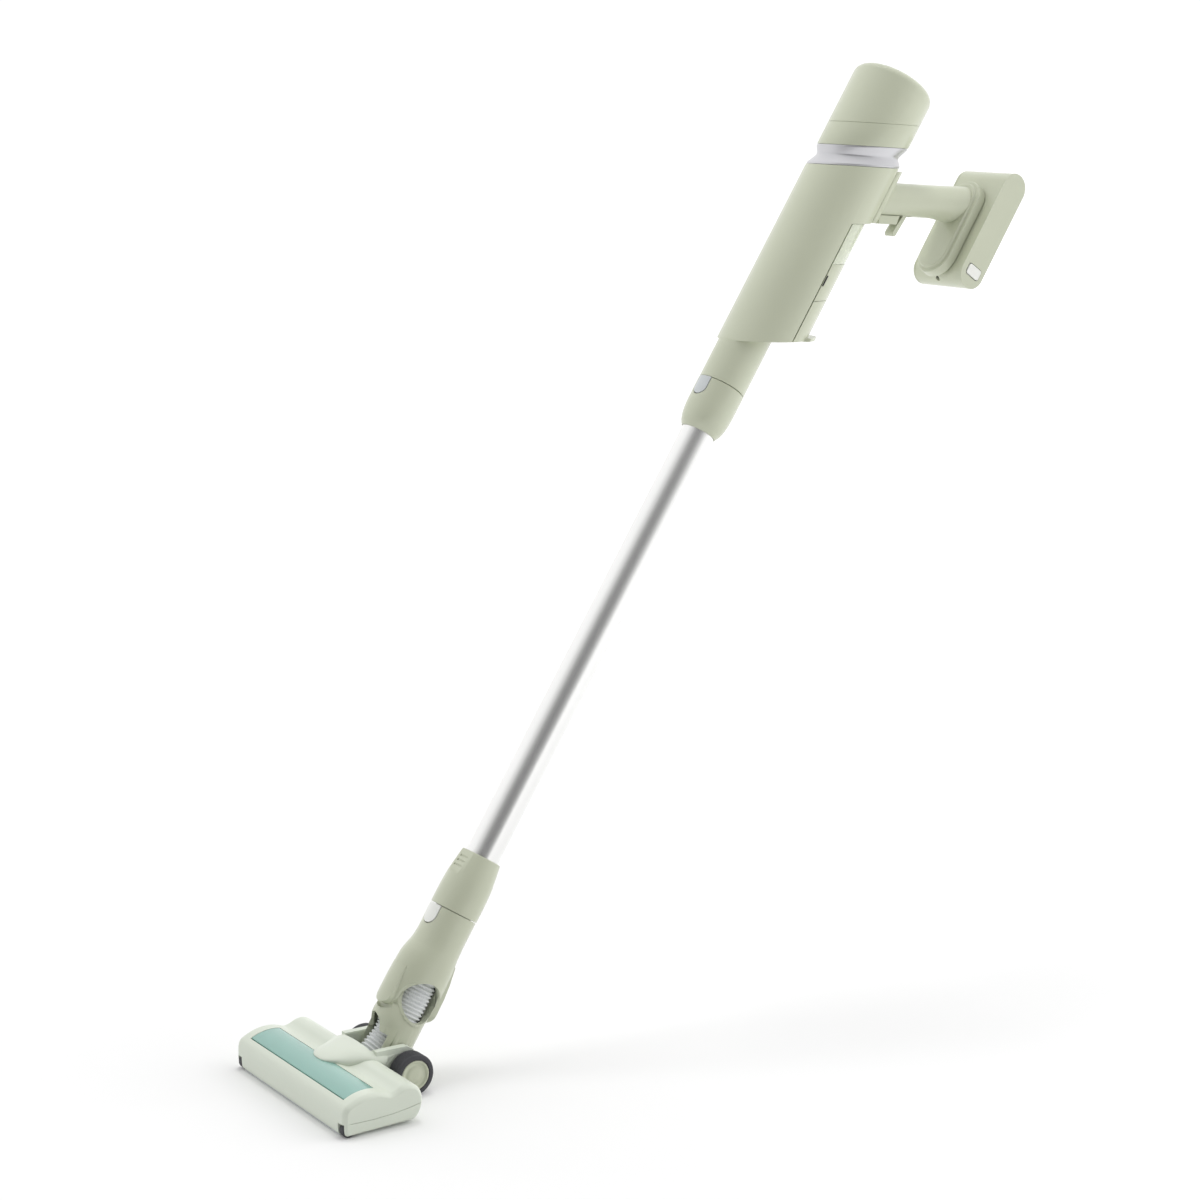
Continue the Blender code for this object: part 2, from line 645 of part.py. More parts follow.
def flexible_hose(stick):
    """The suction hose's outer sleeve, from the cuff through the elbow and down into the head."""
    turn = Matrix.Rotation(LEAN, 4, "X")
    end = turn @ Vector((0, -23, 2)) + Vector((0, STICK_FORWARD, 0))
    top, middle, low = Vector((0, 0, 99)), Vector((0, 0, 62)), Vector((0, -0.5, 30))
    start_way = Vector((0, -1, -30))
    end_way = turn @ Vector((0, -22, -21))
    points = [top.lerp(middle, i / 3) for i in range(3)]
    points += [middle.lerp(low, i / 3) for i in range(3)]
    bend = 8
    for i in range(bend + 1):
        t = i / bend
        h = (2 * t**3 - 3 * t**2 + 1, t**3 - 2 * t**2 + t, -2 * t**3 + 3 * t**2, t**3 - t**2)
        points.append(h[0] * low + h[1] * start_way + h[2] * end + h[3] * end_way)
    loops_out = []
    loops_in = []
    for i, point in enumerate(points):
        way = points[min(i + 1, len(points) - 1)] - points[max(i - 1, 0)]
        side = Vector((1, 0, 0))
        up = side.cross(way).normalized()
        for radius, loops in ((HOSE_R - 0.5, loops_out), (HOSE_BORE, loops_in)):
            circle = [math.tau * k / 20 for k in range(20)]
            loops.append([point + radius * (math.cos(a) * side + math.sin(a) * up) for a in circle])
    mesh = bmesh.new()
    rows = [[mesh.verts.new(p) for p in loop] for loop in loops_out + loops_in[::-1]]
    for low_row, high_row in zip(rows, rows[1:] + rows[:1]):
        joined(mesh, low_row, high_row)
    solid("flexible_hose", finished(mesh), "hose", stick)


# ---------------------------------------------------------------- floor head


TOP_PROFILE = [
    (HEAD_FRONT, 15.3),
    (HEAD_FRONT, 24.0),
    (-107.5, 29.0),
    (-102.0, 33.0),
    (-93.0, 36.6),
    (-83.0, 38.5),
    (-73.0, 38.5),
    (-65.0, 36.6),
    (-58.5, 34.6),
    (-52.0, 36.0),
    (-44.0, 39.2),
    (-38.0, 39.2),
    (-30.0, 35.0),
    (-25.5, 28.5),
    (HEAD_REAR, 21.0),
    (HEAD_REAR - 0.4, 15.3),
]


def inset(profile, wall):
    """The open profile moved inwards by a wall's thickness, and closed along its lower side."""
    moved_in = []
    for i, (y, z) in enumerate(profile):
        before = profile[max(i - 1, 0)]
        after = profile[min(i + 1, len(profile) - 1)]
        run, rise = after[0] - before[0], after[1] - before[1]
        length = math.hypot(run, rise)
        moved_in.append((y + wall * rise / length, z - wall * run / length))
    return moved_in


def head_top(head):
    """The upper housing: a shell with rounded ends, a window and a bay for the neck."""
    middle = (-67.0, 20.0)
    loops = []
    for x, scale in ((-107, 0.93), (-106, 0.97), (-103, 1.0), (103, 1.0), (106, 0.97), (107, 0.93)):
        loop = []
        for y, z in TOP_PROFILE:
            lift = z if z < 15.5 else middle[1] + (z - middle[1]) * scale
            loop.append((x, middle[0] + (y - middle[0]) * (1 - (1 - scale) / 3), lift))
        loops.append(loop)
    top = solid("head_top", layered(loops), "shell", head)
    inner = inset(TOP_PROFILE, 2.5)
    inner[0] = (inner[0][0], 5.0)
    inner[-1] = (inner[-1][0], 5.0)
    cut(top, prism(inner, -103.5, 103.5, "x"))
    cut(top, box((-91.5, -101.5, 25), (91.5, -70.5, 50)))
    cut(top, box((-25, -50, 12), (25, 0, 60)))
    for side in (-1, 1):
        cut(top, roller_well(side))


def roller_well(side):
    """The space of one small front roller."""
    x = side * ROLLER_X
    return box((x - 4.7, -116, -5), (x + 4.7, ROLLER_Y + ROLLER_R + 1, 16.5))


def window(head):
    """A clear cover over the brush, bent like the housing in front and behind it."""
    outer = TOP_PROFILE[3:7] + [(-71.5, 38.3)]
    inner = [(y, z - 2.0) for y, z in outer[::-1]]
    pane = prism([(-101.2, 33.0), *outer[1:], *inner[:-1], (-101.2, 31.0)], -91.2, 91.2, "x")
    solid("window", pane, "teal", head)


def head_base(head):
    """The lower housing, open below for the brush, with rooms for the motor, belt and suction."""
    outline = [(HEAD_FRONT, 15.0), (HEAD_FRONT, 5.0), (-107.5, SOLE_Z), (-42, SOLE_Z), (-27, 12.0), (-24.4, 15.0)]
    base = solid("head_base", prism(outline, -105.5, 105.5, "x"), "shell", head)
    cut(base, box((-93, -100, -10), (93, -63.5, 30)))
    cut(base, box((-102.5, -96, 6), (-91, -30, 30)))
    cut(base, box((-92, -60, 5.5), (-27, -31, 30)))
    cut(base, box((27, -60, 5.5), (102, -31, 30)))
    cut(base, box((-24, -66, 5.5), (24, -20, 30)))
    for side in (-1, 1):
        cut(base, roller_well(side))


def bonnet(head):
    """The cover over the suction elbow, with two arms that carry the axle."""
    tip = arc(0, -56, 21, 180, 360, 14)
    nose = tip + [(ARM_OUT, -27), (ARM_OUT, -22), (-ARM_OUT, -22), (-ARM_OUT, -27)]
    cover = solid("bonnet", prism(nose, 30, 60, "z"), "shell", head)
    keep(cover, prism([(-85, 39.8), (-10, 39.8), (-10, 46), (-40, 46), (-60, 44.5), (-85, 40.4)], -40, 40, "x"))
    arm = [(-23.5, 41), (-29, 41), (-29, 45.5), (1, 45.5), *arc(0, 33, 9.5, 60, 0, 4)]
    arm += arc(0, WHEEL_R, 9.5, 0, -180, 8) + [(-23.5, 21)]
    for side in (-1, 1):
        low, high = sorted((side * ARM_IN, side * (ARM_OUT - 0.4)))
        fuse(cover, prism(arm, low, high, "x"))
    cut(cover, box((-25, -33.5, 20), (25, -10, 60)))
    cut(cover, along_x(rod(AXLE_R + GAP, -40, 40, 20), (0, 0, WHEEL_R)))


def brush(head):
    """The brush roll: a core on two stub shafts, with rows of bristles wound round it."""
    at = (0, BRUSH_Y, BRUSH_Z)
    core = [(0, -100), (2.5, -100), (2.5, -BRUSH_HALF), (BRUSH_CORE, -BRUSH_HALF)]
    core += [(BRUSH_CORE, BRUSH_HALF), (2.5, BRUSH_HALF), (2.5, 95.5), (0, 95.5)]
    roll = solid("brush_roll", along_x(turned(core, 20), at), "dark_plastic", head, at)
    rows = 4
    steps = 12
    for k in range(rows):
        loops = []
        for i in range(steps + 1):
            x = -86 + 172 * i / steps
            turn = math.tau * k / rows + math.radians(120) * abs(2 * i / steps - 1)
            loop = []
            for radius, spread in ((8.0, -0.12), (BRUSH_R, -0.09), (BRUSH_R, 0.09), (8.0, 0.12)):
                a = turn + spread
                loop.append((x, BRUSH_Y + radius * math.cos(a), BRUSH_Z + radius * math.sin(a)))
            loops.append(loop)
        fuse(roll, layered(loops))


def belt_drive(head):
    brush_at = (BELT_X, BRUSH_Y, BRUSH_Z)
    motor_at = (BELT_X, MOTOR_Y, MOTOR_Z)
    half = BELT_WIDE / 2
    for name, radius, bore, at in (
        ("brush_pulley", BRUSH_PULLEY_R, 2.5 + GAP, brush_at),
        ("motor_pulley", MOTOR_PULLEY_R, 1.5 + GAP, motor_at),
    ):
        rings = [(bore, -half), (radius, -half), (radius, half), (bore, half)]
        solid(name, along_x(turned(rings, 24), at), "dark_plastic", head, at)
    gap = math.hypot(MOTOR_Y - BRUSH_Y, MOTOR_Z - BRUSH_Z)
    along = math.degrees(math.atan2(MOTOR_Z - BRUSH_Z, MOTOR_Y - BRUSH_Y))
    wrap = math.degrees(math.asin((BRUSH_PULLEY_R - MOTOR_PULLEY_R) / gap))
    outlines = []
    for extra in (1.9, GAP + 0.1):
        big = arc(BRUSH_Y, BRUSH_Z, BRUSH_PULLEY_R + extra, along + 90 - wrap, along + 270 + wrap, 14)
        small = arc(MOTOR_Y, MOTOR_Z, MOTOR_PULLEY_R + extra, along - 90 + wrap, along + 90 - wrap, 10)
        outlines.append(big + small)
    belt = bmesh.new()
    rows = []
    for outline, x in ((0, -half), (0, half), (1, half), (1, -half)):
        rows.append([belt.verts.new((BELT_X + x, y, z)) for y, z in outlines[outline]])
    for low, high in zip(rows, rows[1:] + rows[:1]):
        joined(belt, low, high)
    solid("drive_belt", finished(belt), "rubber", head)
    motor = [(0, -91), (BRUSH_MOTOR_R, -91), (BRUSH_MOTOR_R, -38), (0, -38)]
    body = solid("brush_motor", along_x(turned(motor, 24), (0, MOTOR_Y, MOTOR_Z)), "steel", head)
    fuse(body, along_x(rod(1.5, -99, -85, 12), (0, MOTOR_Y, MOTOR_Z)))


def wheels(head):
    for side, label in ((-1, "left"), (1, "right")):
        at = (0, 0, WHEEL_R)
        turn = Matrix.Scale(side, 4, (1, 0, 0))
        axle = finished(moved(along_x(rod(AXLE_R, 19, 49, 20), at), turn))
        solid(f"wheel_axle_{label}", axle, "steel", head, at)
        bore = AXLE_R + GAP
        hub = [(bore, 35), (HUB_R, 35), (HUB_R, 50.5), (13.5, 51), (11, 46.5), (5, 45), (bore, 45)]
        mesh = finished(moved(along_x(turned(hub, 28), at), turn))
        solid(f"wheel_hub_{label}", mesh, "shell", head, at)
        grip = HUB_R + GAP
        tyre = [(grip, WHEEL_IN), (19.5, WHEEL_IN), (WHEEL_R, 36.5), (WHEEL_R, 49), (19.5, WHEEL_OUT), (grip, WHEEL_OUT)]
        mesh = finished(moved(along_x(turned(tyre, 32), at), turn))
        solid(f"tyre_{label}", mesh, "rubber", head, at)
        at = (side * ROLLER_X, ROLLER_Y, ROLLER_R)
        roller = [(0, -4), (6.3, -4), (ROLLER_R, -3.2), (ROLLER_R, 3.2), (6.3, 4), (0, 4)]
        solid(f"front_roller_{label}", along_x(turned(roller, 16), at), "rubber", head, at)


# ---------------------------------------------------------------- assembly


def build():
    clear_scene()
    head = frame("head_frame", (0, PITCH_Y, 0))
    forward = Vector((0, -math.cos(LEAN), math.sin(LEAN))) * STICK_FORWARD
    stick = frame("stick_frame", Vector((0, PITCH_Y, WHEEL_R)) + forward, -LEAN)
    handle = frame("handle_frame", (0, HANDLE_T, HANDLE_S), HANDLE_TILT, stick)
    for make in (
        body_shell,
        waist_band,
        top_cap,
        exhaust_filter,
        suction_motor,
        impeller,
        control_board,
        inlet_duct,
        dust_bin,
        cyclone,
        handle_grip,
        battery_dock,
        battery,
        wand,
        neck_upper,
        neck_lower,
        flexible_hose,
    ):
        make(stick)
    lock_slider(handle)
    trigger(handle)
    for make in (head_top, window, head_base, bonnet, brush, belt_drive, wheels):
        make(head)


build()
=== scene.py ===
"""Looks of the cordless stick vacuum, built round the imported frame.

Shapes are drawn in millimetres, in one of three local frames, and turned into row-frame metres.
Stick: +Z up the wand, +Y to its rear, the pitch axle at Z = 0; s is a height along it.
Grip: +Y along the handle, away from the body.
Head: Y from the pitch axle, Z from the floor.
"""

import math

import bmesh
import bpy
from mathutils import Matrix, Vector


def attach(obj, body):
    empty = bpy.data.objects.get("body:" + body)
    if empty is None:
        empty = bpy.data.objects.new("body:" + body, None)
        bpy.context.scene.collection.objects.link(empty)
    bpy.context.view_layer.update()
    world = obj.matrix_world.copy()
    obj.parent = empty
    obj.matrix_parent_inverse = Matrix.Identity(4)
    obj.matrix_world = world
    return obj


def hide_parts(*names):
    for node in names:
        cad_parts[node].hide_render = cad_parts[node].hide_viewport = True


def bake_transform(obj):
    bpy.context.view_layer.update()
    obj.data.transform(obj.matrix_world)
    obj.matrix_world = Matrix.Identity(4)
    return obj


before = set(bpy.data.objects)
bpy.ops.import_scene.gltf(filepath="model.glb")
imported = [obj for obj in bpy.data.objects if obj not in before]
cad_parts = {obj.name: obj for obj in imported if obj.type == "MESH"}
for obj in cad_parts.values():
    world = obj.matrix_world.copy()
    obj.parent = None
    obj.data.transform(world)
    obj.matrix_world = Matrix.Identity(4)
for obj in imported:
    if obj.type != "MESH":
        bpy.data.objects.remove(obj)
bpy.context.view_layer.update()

MM = 0.001
LEAN = math.radians(31.9)  # the stick, from upright
TILT = math.radians(29.3)  # the grip, from square to the stick
PITCH = Vector((0, -326, 0))  # the floor under the pitch axle
AXLE = 21.0  # the pitch axle and the wheels' axles, above the floor
STEP = 10.5  # the pitch axle, behind the stick's middle line
SLOPE = math.tan(math.radians(31))  # the body's seams
TOP_SLOPE = math.tan(math.radians(29.4))  # the band's and the cap's seams
BODY_Y = 21.3  # the body's middle line, behind the wand's
SWIVEL = 63.0  # the swivel pins' height on the stick
PIN_BORE, AXLE_BORE = 4.3, 3.3  # holes for the swivel pins and for the axles
SIDES = ((-1, "left"), (1, "right"))

STICK = Matrix.Translation(
    PITCH + Vector((0, -STEP * math.cos(LEAN), AXLE + STEP * math.sin(LEAN)))
) @ Matrix.Rotation(-LEAN, 4, "X")
GRIP = STICK @ Matrix.Translation((0, 84.4, 1021.2)) @ Matrix.Rotation(TILT, 4, "X")
HEAD = Matrix.Translation(PITCH)


# ---------------------------------------------------------------- materials


def finish(name, colour, rough, metal=0.0, grain=0.03, scale=700, vary=0.03, coat=0.0, clear=0.0):
    """A Principled finish with fine noise in its colour, roughness and surface."""
    made = bpy.data.materials.new(name)
    made.use_nodes = True
    nodes, links = made.node_tree.nodes, made.node_tree.links
    shader = nodes["Principled BSDF"]
    shader.inputs["Metallic"].default_value = metal
    shader.inputs["Coat Weight"].default_value = coat
    shader.inputs["Coat Roughness"].default_value = 0.12
    shader.inputs["Transmission Weight"].default_value = clear
    shader.inputs["IOR"].default_value = 1.46
    place = nodes.new("ShaderNodeTexCoord")
    broad = nodes.new("ShaderNodeTexNoise")
    broad.inputs["Scale"].default_value = 14
    broad.inputs["Detail"].default_value = 4
    fine = nodes.new("ShaderNodeTexNoise")
    fine.inputs["Scale"].default_value = scale
    fine.inputs["Detail"].default_value = 2
    for noise in (broad, fine):
        links.new(place.outputs["Object"], noise.inputs["Vector"])
    tint = nodes.new("ShaderNodeMix")
    tint.data_type = "RGBA"
    factor, first, second, mixed = tint.inputs[0], tint.inputs[6], tint.inputs[7], tint.outputs[2]
    first.default_value = (*[c * (1 - vary) for c in colour], 1)
    second.default_value = (*[min(1, c * (1 + vary)) for c in colour], 1)
    links.new(broad.outputs["Fac"], factor)
    links.new(mixed, shader.inputs["Base Color"])
    gloss = nodes.new("ShaderNodeMapRange")
    gloss.inputs["To Min"].default_value = max(0, rough - 0.04)
    gloss.inputs["To Max"].default_value = min(1, rough + 0.04)
    links.new(fine.outputs["Fac"], gloss.inputs["Value"])
    links.new(gloss.outputs["Result"], shader.inputs["Roughness"])
    bump = nodes.new("ShaderNodeBump")
    bump.inputs["Strength"].default_value = grain
    bump.inputs["Distance"].default_value = 0.0002
    links.new(fine.outputs["Fac"], bump.inputs["Height"])
    links.new(bump.outputs["Normal"], shader.inputs["Normal"])
    return made


SHELL = finish("pale_green_plastic", (0.535, 0.563, 0.432), 0.34, coat=0.35)
HEAD_SHELL = finish("head_green_plastic", (0.68, 0.73, 0.63), 0.36, coat=0.2)
SILVER = finish("silver_band", (0.60, 0.60, 0.62), 0.30, metal=0.65, grain=0.0)
TUBE = finish("drawn_aluminium", (0.91, 0.91, 0.90), 0.20, metal=0.75, grain=0.01, scale=400)
TEAL = finish("teal_cover", (0.43, 0.74, 0.66), 0.16, grain=0.005, clear=0.45, coat=0.4)
SMOKE = finish("bin_clear", (0.84, 0.89, 0.72), 0.14, grain=0.005, clear=0.3, coat=0.3)
RUBBER = finish("tyre_rubber", (0.055, 0.055, 0.062), 0.62, grain=0.25, scale=1500)
HOSE = finish("hose_plastic", (0.72, 0.74, 0.74), 0.42, grain=0.05)
WHITE = finish("button_white", (0.82, 0.83, 0.79), 0.32)
GREY = finish("button_grey", (0.56, 0.59, 0.60), 0.30)
STEEL = finish("turned_steel", (0.60, 0.60, 0.62), 0.28, metal=1.0, grain=0.04)
DARK = finish("dark_plastic", (0.035, 0.035, 0.04), 0.5, grain=0.15)
PAPER = finish("filter_paper", (0.82, 0.82, 0.77), 0.9, grain=0.4)
BOARD = finish("circuit_board", (0.04, 0.22, 0.10), 0.45, grain=0.1)
CELL = finish("cell_sleeve", (0.10, 0.30, 0.45), 0.35)
BRUSH = finish("brush_fibre", (0.16, 0.42, 0.37), 0.85, grain=0.8, scale=500, vary=0.25)
# painted shade: flat black for the bin's side slits, standing in for the shade inside the openings
SLIT_SHADE = finish("slit_shade_black", (0.01, 0.01, 0.012), 0.5)


# ---------------------------------------------------------------- shapes


def closed(mesh):
    """The mesh with its faces turned outwards."""
    bmesh.ops.recalc_face_normals(mesh, faces=mesh.faces)
    if mesh.calc_volume(signed=True) < 0:
        bmesh.ops.reverse_faces(mesh, faces=mesh.faces)
    return mesh


def bridge(mesh, low, high):
    """Faces from one loop to the next; either may be a single point."""
    count = max(len(low), len(high))
    for i in range(count if count > 1 else 0):
        j = (i + 1) % count
        ring = [low[i % len(low)], low[j % len(low)], high[j % len(high)], high[i % len(high)]]
        mesh.faces.new(list(dict.fromkeys(ring)))


def lathe(rings, centre=0.0, segments=128):
    """Turned about X = 0, Y = centre. A ring is (radius, height) or (radius, height, slope)."""
    mesh = bmesh.new()
    loops = []
    for radius, height, *slope in rings:
        loop = []
        for i in range(segments if radius else 1):
            angle = math.tau * (i + 0.5) / segments
            y = radius * math.cos(angle)
            lift = slope[0] * y if slope else 0.0
            loop.append(mesh.verts.new((radius * math.sin(angle), centre + y, height + lift)))
        loops.append(loop)
    for low, high in zip(loops, loops[1:] + (loops[:1] if rings[0][0] else [])):
        bridge(mesh, low, high)
    return closed(mesh)


def layers(loops):
    """A solid through the loops, closed by the first and the last."""
    mesh = bmesh.new()
    rows = [[mesh.verts.new(point) for point in loop] for loop in loops]
    for low, high in zip(rows, rows[1:]):
        bridge(mesh, low, high)
    mesh.faces.new(rows[0])
    mesh.faces.new(rows[-1])
    return closed(mesh)


def prism(outline, low, high, along):
    """An outline in the other two axes, drawn out along one axis."""
    place = {
        "x": lambda a, b, c: (c, a, b),
        "y": lambda a, b, c: (a, c, b),
        "z": lambda a, b, c: (a, b, c),
    }[along]
    return layers([[place(a, b, c) for a, b in outline] for c in (low, high)])


def sheared(outline, low, high):
    """An (x, y) outline drawn up between two sloping seams, whose heights are given at BODY_Y."""
    return layers([[(x, y, s + SLOPE * (y - BODY_Y)) for x, y in outline] for s in (low, high)])


def box(low, high):
    """A box between two opposite corners."""
    outline = [(low[0], low[1]), (high[0], low[1]), (high[0], high[1]), (low[0], high[1])]
    return prism(outline, low[2], high[2], "z")


def arc(a, b, radius, start, end, count):
    """Points on a circle about (a, b), from one angle in degrees to another."""
    angles = [math.radians(start + (end - start) * i / count) for i in range(count + 1)]
    return [(a + radius * math.cos(t), b + radius * math.sin(t)) for t in angles]


def fillet(corners, radii, count=6):
    """A closed outline with each corner rounded to its radius, unless it is nearly straight."""
    made = []
    total = len(corners)
    for i, (corner, radius) in enumerate(zip(corners, radii)):
        here = Vector(corner)
        back = (Vector(corners[i - 1]) - here).normalized()
        ahead = (Vector(corners[(i + 1) % total]) - here).normalized()
        half = back.angle(ahead) / 2
        if half > 1.52:
            made.append(tuple(here))
            continue
        reach = radius / math.tan(half)
        middle = here + (back + ahead).normalized() * radius / math.sin(half)
        start, end = here + back * reach - middle, here + ahead * reach - middle
        turn = start.angle_signed(end)
        for k in range(count + 1):
            made.append(tuple(middle + Matrix.Rotation(-turn * k / count, 2) @ start))
    return made


def rounded(half, low, high, radius, count=10):
    """A rectangle from -half to half and from low to high, with round corners."""
    right = arc(half - radius, low + radius, radius, -90, 0, count)
    right += arc(half - radius, high - radius, radius, 0, 90, count)
    return right + [(-a, b) for a, b in reversed(right)]


def smooth(points, per):
    """A Catmull-Rom curve through the points, with so many steps between two of them."""
    made = []
    padded = [points[0], *points, points[-1]]
    for i in range(1, len(padded) - 2):
        p0, p1, p2, p3 = (Vector(p) for p in padded[i - 1 : i + 3])
        for k in range(per):
            t = k / per
            made.append(
                0.5 * (2 * p1 + (p2 - p0) * t + (2 * p0 - 5 * p1 + 4 * p2 - p3) * t**2)
                + 0.5 * (3 * p1 - p0 - 3 * p2 + p3) * t**3
            )
    return [tuple(p) for p in made] + [tuple(points[-1])]


def shrunk(outline, wall):
    """A closed outline, run clockwise in (y, z) with the inside on its right, moved inwards."""
    made = []
    total = len(outline)
    for i, point in enumerate(outline):
        run = Vector(outline[(i + 1) % total]) - Vector(outline[i - 1])
        side = Vector((run.y, -run.x)).normalized()
        made.append(tuple(Vector(point) + side * wall))
    return made


def drawn_in(outline, wall):
    """The head's end profile pulled towards the line along the middle of its thickness."""
    front, back, height = -90, -42, 19
    made = []
    for y, z in outline:
        middle = Vector((min(max(y, front), back), height))
        point = Vector((y, z))
        made.append(tuple(point + (middle - point).normalized() * wall))
    return made


def rod(radius, low, high, segments=64):
    """A round rod along Z."""
    return lathe([(0, low), (radius, low), (radius, high), (0, high)], 0, segments)


def lay(mesh, axis, at=(0, 0, 0)):
    """The mesh laid down from Z to +X or +Y, and moved."""
    turn = Matrix.Rotation(math.pi / 2, 4, "Y") if axis == "x" else Matrix.Rotation(-math.pi / 2, 4, "X")
    mesh.transform(Matrix.Translation(at) @ turn)
    return mesh


def shift(mesh, at):
    """The mesh, moved."""
    mesh.transform(Matrix.Translation(at))
    return mesh


# ---------------------------------------------------------------- pieces


def raw(name, mesh, place):
    """An object made of a mesh in millimetres, placed by a local frame."""
    mesh.transform(Matrix.Scale(MM, 4) @ place)
    data = bpy.data.meshes.new(name)
    mesh.to_mesh(data)
    mesh.free()
    obj = bpy.data.objects.new(name, data)
    bpy.context.scene.collection.objects.link(obj)
    return obj


def piece(name, mesh, place, body, look, stands_for=None, tools=(), bevel=0.5, angle=38):
    """A shown piece: its mesh, the Booleans applied to it, rounded edges, and the body it rides on."""
    obj = raw(name, mesh, place)
    for operation, tool_mesh in tools:
        tool = raw("tool", tool_mesh, place)
        modifier = obj.modifiers.new(operation, "BOOLEAN")
        modifier.operation = operation
        modifier.solver = "EXACT"
        modifier.object = tool
        bpy.context.view_layer.update()
        graph = bpy.context.evaluated_depsgraph_get()
        data = bpy.data.meshes.new_from_object(obj.evaluated_get(graph))
        obj.modifiers.clear()
        obj.data = data
        bpy.data.objects.remove(tool)
    obj.data.materials.clear()
    obj.data.materials.append(look)
    obj.data.shade_smooth()
    if bevel:
        edge = obj.modifiers.new("bevel", "BEVEL")
        edge.width = bevel * MM
        edge.segments = 3
        edge.limit_method = "ANGLE"
        edge.angle_limit = math.radians(angle)
        edge.harden_normals = False
        even = obj.modifiers.new("normals", "WEIGHTED_NORMAL")
        even.keep_sharp = True
    else:
        obj.data.set_sharp_from_angle(angle=math.radians(angle))
    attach(obj, body)
    if stands_for:
        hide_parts(stands_for)


CUT, ADD, KEEP = "DIFFERENCE", "UNION", "INTERSECT"


# ---------------------------------------------------------------- main unit

# heights of the body's sloping seams are those on its middle line
BODY_R = 44.2
BODY_LOW, LATCH_TOP, BIN_SPLIT, BIN_TOP, BODY_TOP = 817.0, 864.5, 907.5, 955.5, 1022.3
BIN_SKIN, BIN_FACE = 41.1, 43.5
CAP_R, CAP_LOW, CAP_TOP = 43.5, 1046.4, 1123.2
INLET = 868  # height at which the duct's port meets the bin's
LOWER_SEAM, UPPER_SEAM = 155.5, 748.0
TURNED = 160  # segments round the turned shells of the body and the wand


def rear(radius, reach=88.0, depth=0.815):
    """The bin side's curve, which is shallower than the round body."""
    turn = arc(0, BODY_Y, radius, 90 - reach, 90 + reach, 64)
    return [(x, BODY_Y + depth * (y - BODY_Y)) for x, y in turn]


def rear_panel(low, high):
    """A curved panel of the bin side, between two sloping seams."""
    return sheared(rear(BIN_FACE) + rear(BIN_SKIN)[::-1], low, high)


def body_core(radius, segments):
    """A cylinder on the body's axis, for cutting other parts off at the body."""
    return shift(rod(radius, 880, 1140, segments), (0, BODY_Y, 0))


def case():
    """The body's round front, its floor, and the ledge over the bin."""
    bore, bay_front, bay_rear = 41.7, BODY_Y - 0.5, 90.0
    rings = [(BODY_R, BODY_LOW, SLOPE), (BODY_R, BODY_TOP, TOP_SLOPE)]
    rings += [(bore, BODY_TOP, TOP_SLOPE), (bore, BODY_LOW, SLOPE)]
    bay_top = [(y, BIN_TOP + SLOPE * (y - BODY_Y)) for y in (bay_rear, bay_front)]
    bay = prism([(bay_front, 700), (bay_rear, 700), *bay_top], -60, 60, "x")
    front = lathe(rings, BODY_Y, TURNED)
    piece("case_front", front, STICK, "main_unit", SHELL, "body_shell", [(CUT, bay)], bevel=0.45)

    outline = arc(0, BODY_Y, 42.5, -179, -1, 48)
    outline += [(40.6, 20.5), (40.4, 24.8), (-40.4, 24.8), (-40.6, 20.5)]
    floor = sheared(outline, BODY_LOW + 0.4, BODY_LOW + 3)
    hole = rod(18.9, 700, 900)
    piece("case_floor", floor, STICK, "main_unit", SHELL, tools=[(CUT, hole)], bevel=0.2)

    ledge = sheared(rear(43.0, 80, 1.0) + rear(38.5, 80)[::-1], BIN_TOP + 0.4, BIN_TOP + 2.2)
    piece("case_ledge", ledge, STICK, "main_unit", SHELL, bevel=0)


def band():
    """The silver waist band, as (radius, height over the body's top)."""
    profile = [(43.5, 0.3), (43.9, 0.8), (43.9, 2.6), (43.3, 3.4), (39.6, 9.8), (39.1, 11.2)]
    profile += [(39.1, 12.6), (39.5, 13.8), (42.9, 21.8), (42.9, 23.8), (37, 23.8), (37, 0.3)]
    ring = lathe([(r, BODY_TOP + s, TOP_SLOPE) for r, s in profile], BODY_Y, TURNED)
    piece("band", ring, STICK, "main_unit", SILVER, "waist_band", bevel=0.25, angle=30)


def grip_root():
    """The raised plate on the body that the grip grows from."""
    outline = [(26.5, 48), (26.5, 60), (20, 67.8), (-20, 67.8), (-26.5, 60), (-26.5, 48)]
    spine = sheared(outline, BIN_TOP + 0.8, BODY_TOP - 5)
    tools = [(CUT, body_core(BODY_R + 0.05, TURNED))]
    piece("grip_root", spine, STICK, "main_unit", SHELL, tools=tools, bevel=2.2, angle=25)


def grip():
    """The round grip, which swells over its last third and ends along the dock."""
    radius, start, steps, turns = 17.3, -22, 24, 96
    loops = []
    for step in range(steps + 1):
        f = max(0.0, (step - 16) / 8)
        ease = f * f * (3 - 2 * f)
        loop = []
        for i in range(turns):
            a = math.tau * i / turns
            x = (radius + 1.6 * ease) * math.cos(a)
            z = (radius + 2.4 * ease) * math.sin(a) - 1.6 * ease
            end = 101.6 + math.tan(TILT) * z
            loop.append((x, start + (end - start) * step / steps, z))
        loops.append(loop)
    core = body_core(BODY_R - 2.8, 96)
    core.transform(GRIP.inverted() @ STICK)
    trigger_slot = box((-6.8, 12, -30), (6.8, 28, -8))
    tools = [(CUT, core), (CUT, trigger_slot)]
    piece("grip", layers(loops), GRIP, "main_unit", SHELL, "handle_grip", tools, bevel=0.4, angle=50)


def dock():
    """The long plate at the grip's end, with a raised face in front."""
    plate = prism(rounded(23.5, 986, 1098, 23.4, 24), 172, 183.4, "y")
    face = prism(rounded(19.5, 990.5, 1093.5, 19.4, 24), 168.6, 173, "y")
    piece("dock", plate, STICK, "main_unit", SHELL, "battery_dock", [(ADD, face)], bevel=1.4, angle=30)


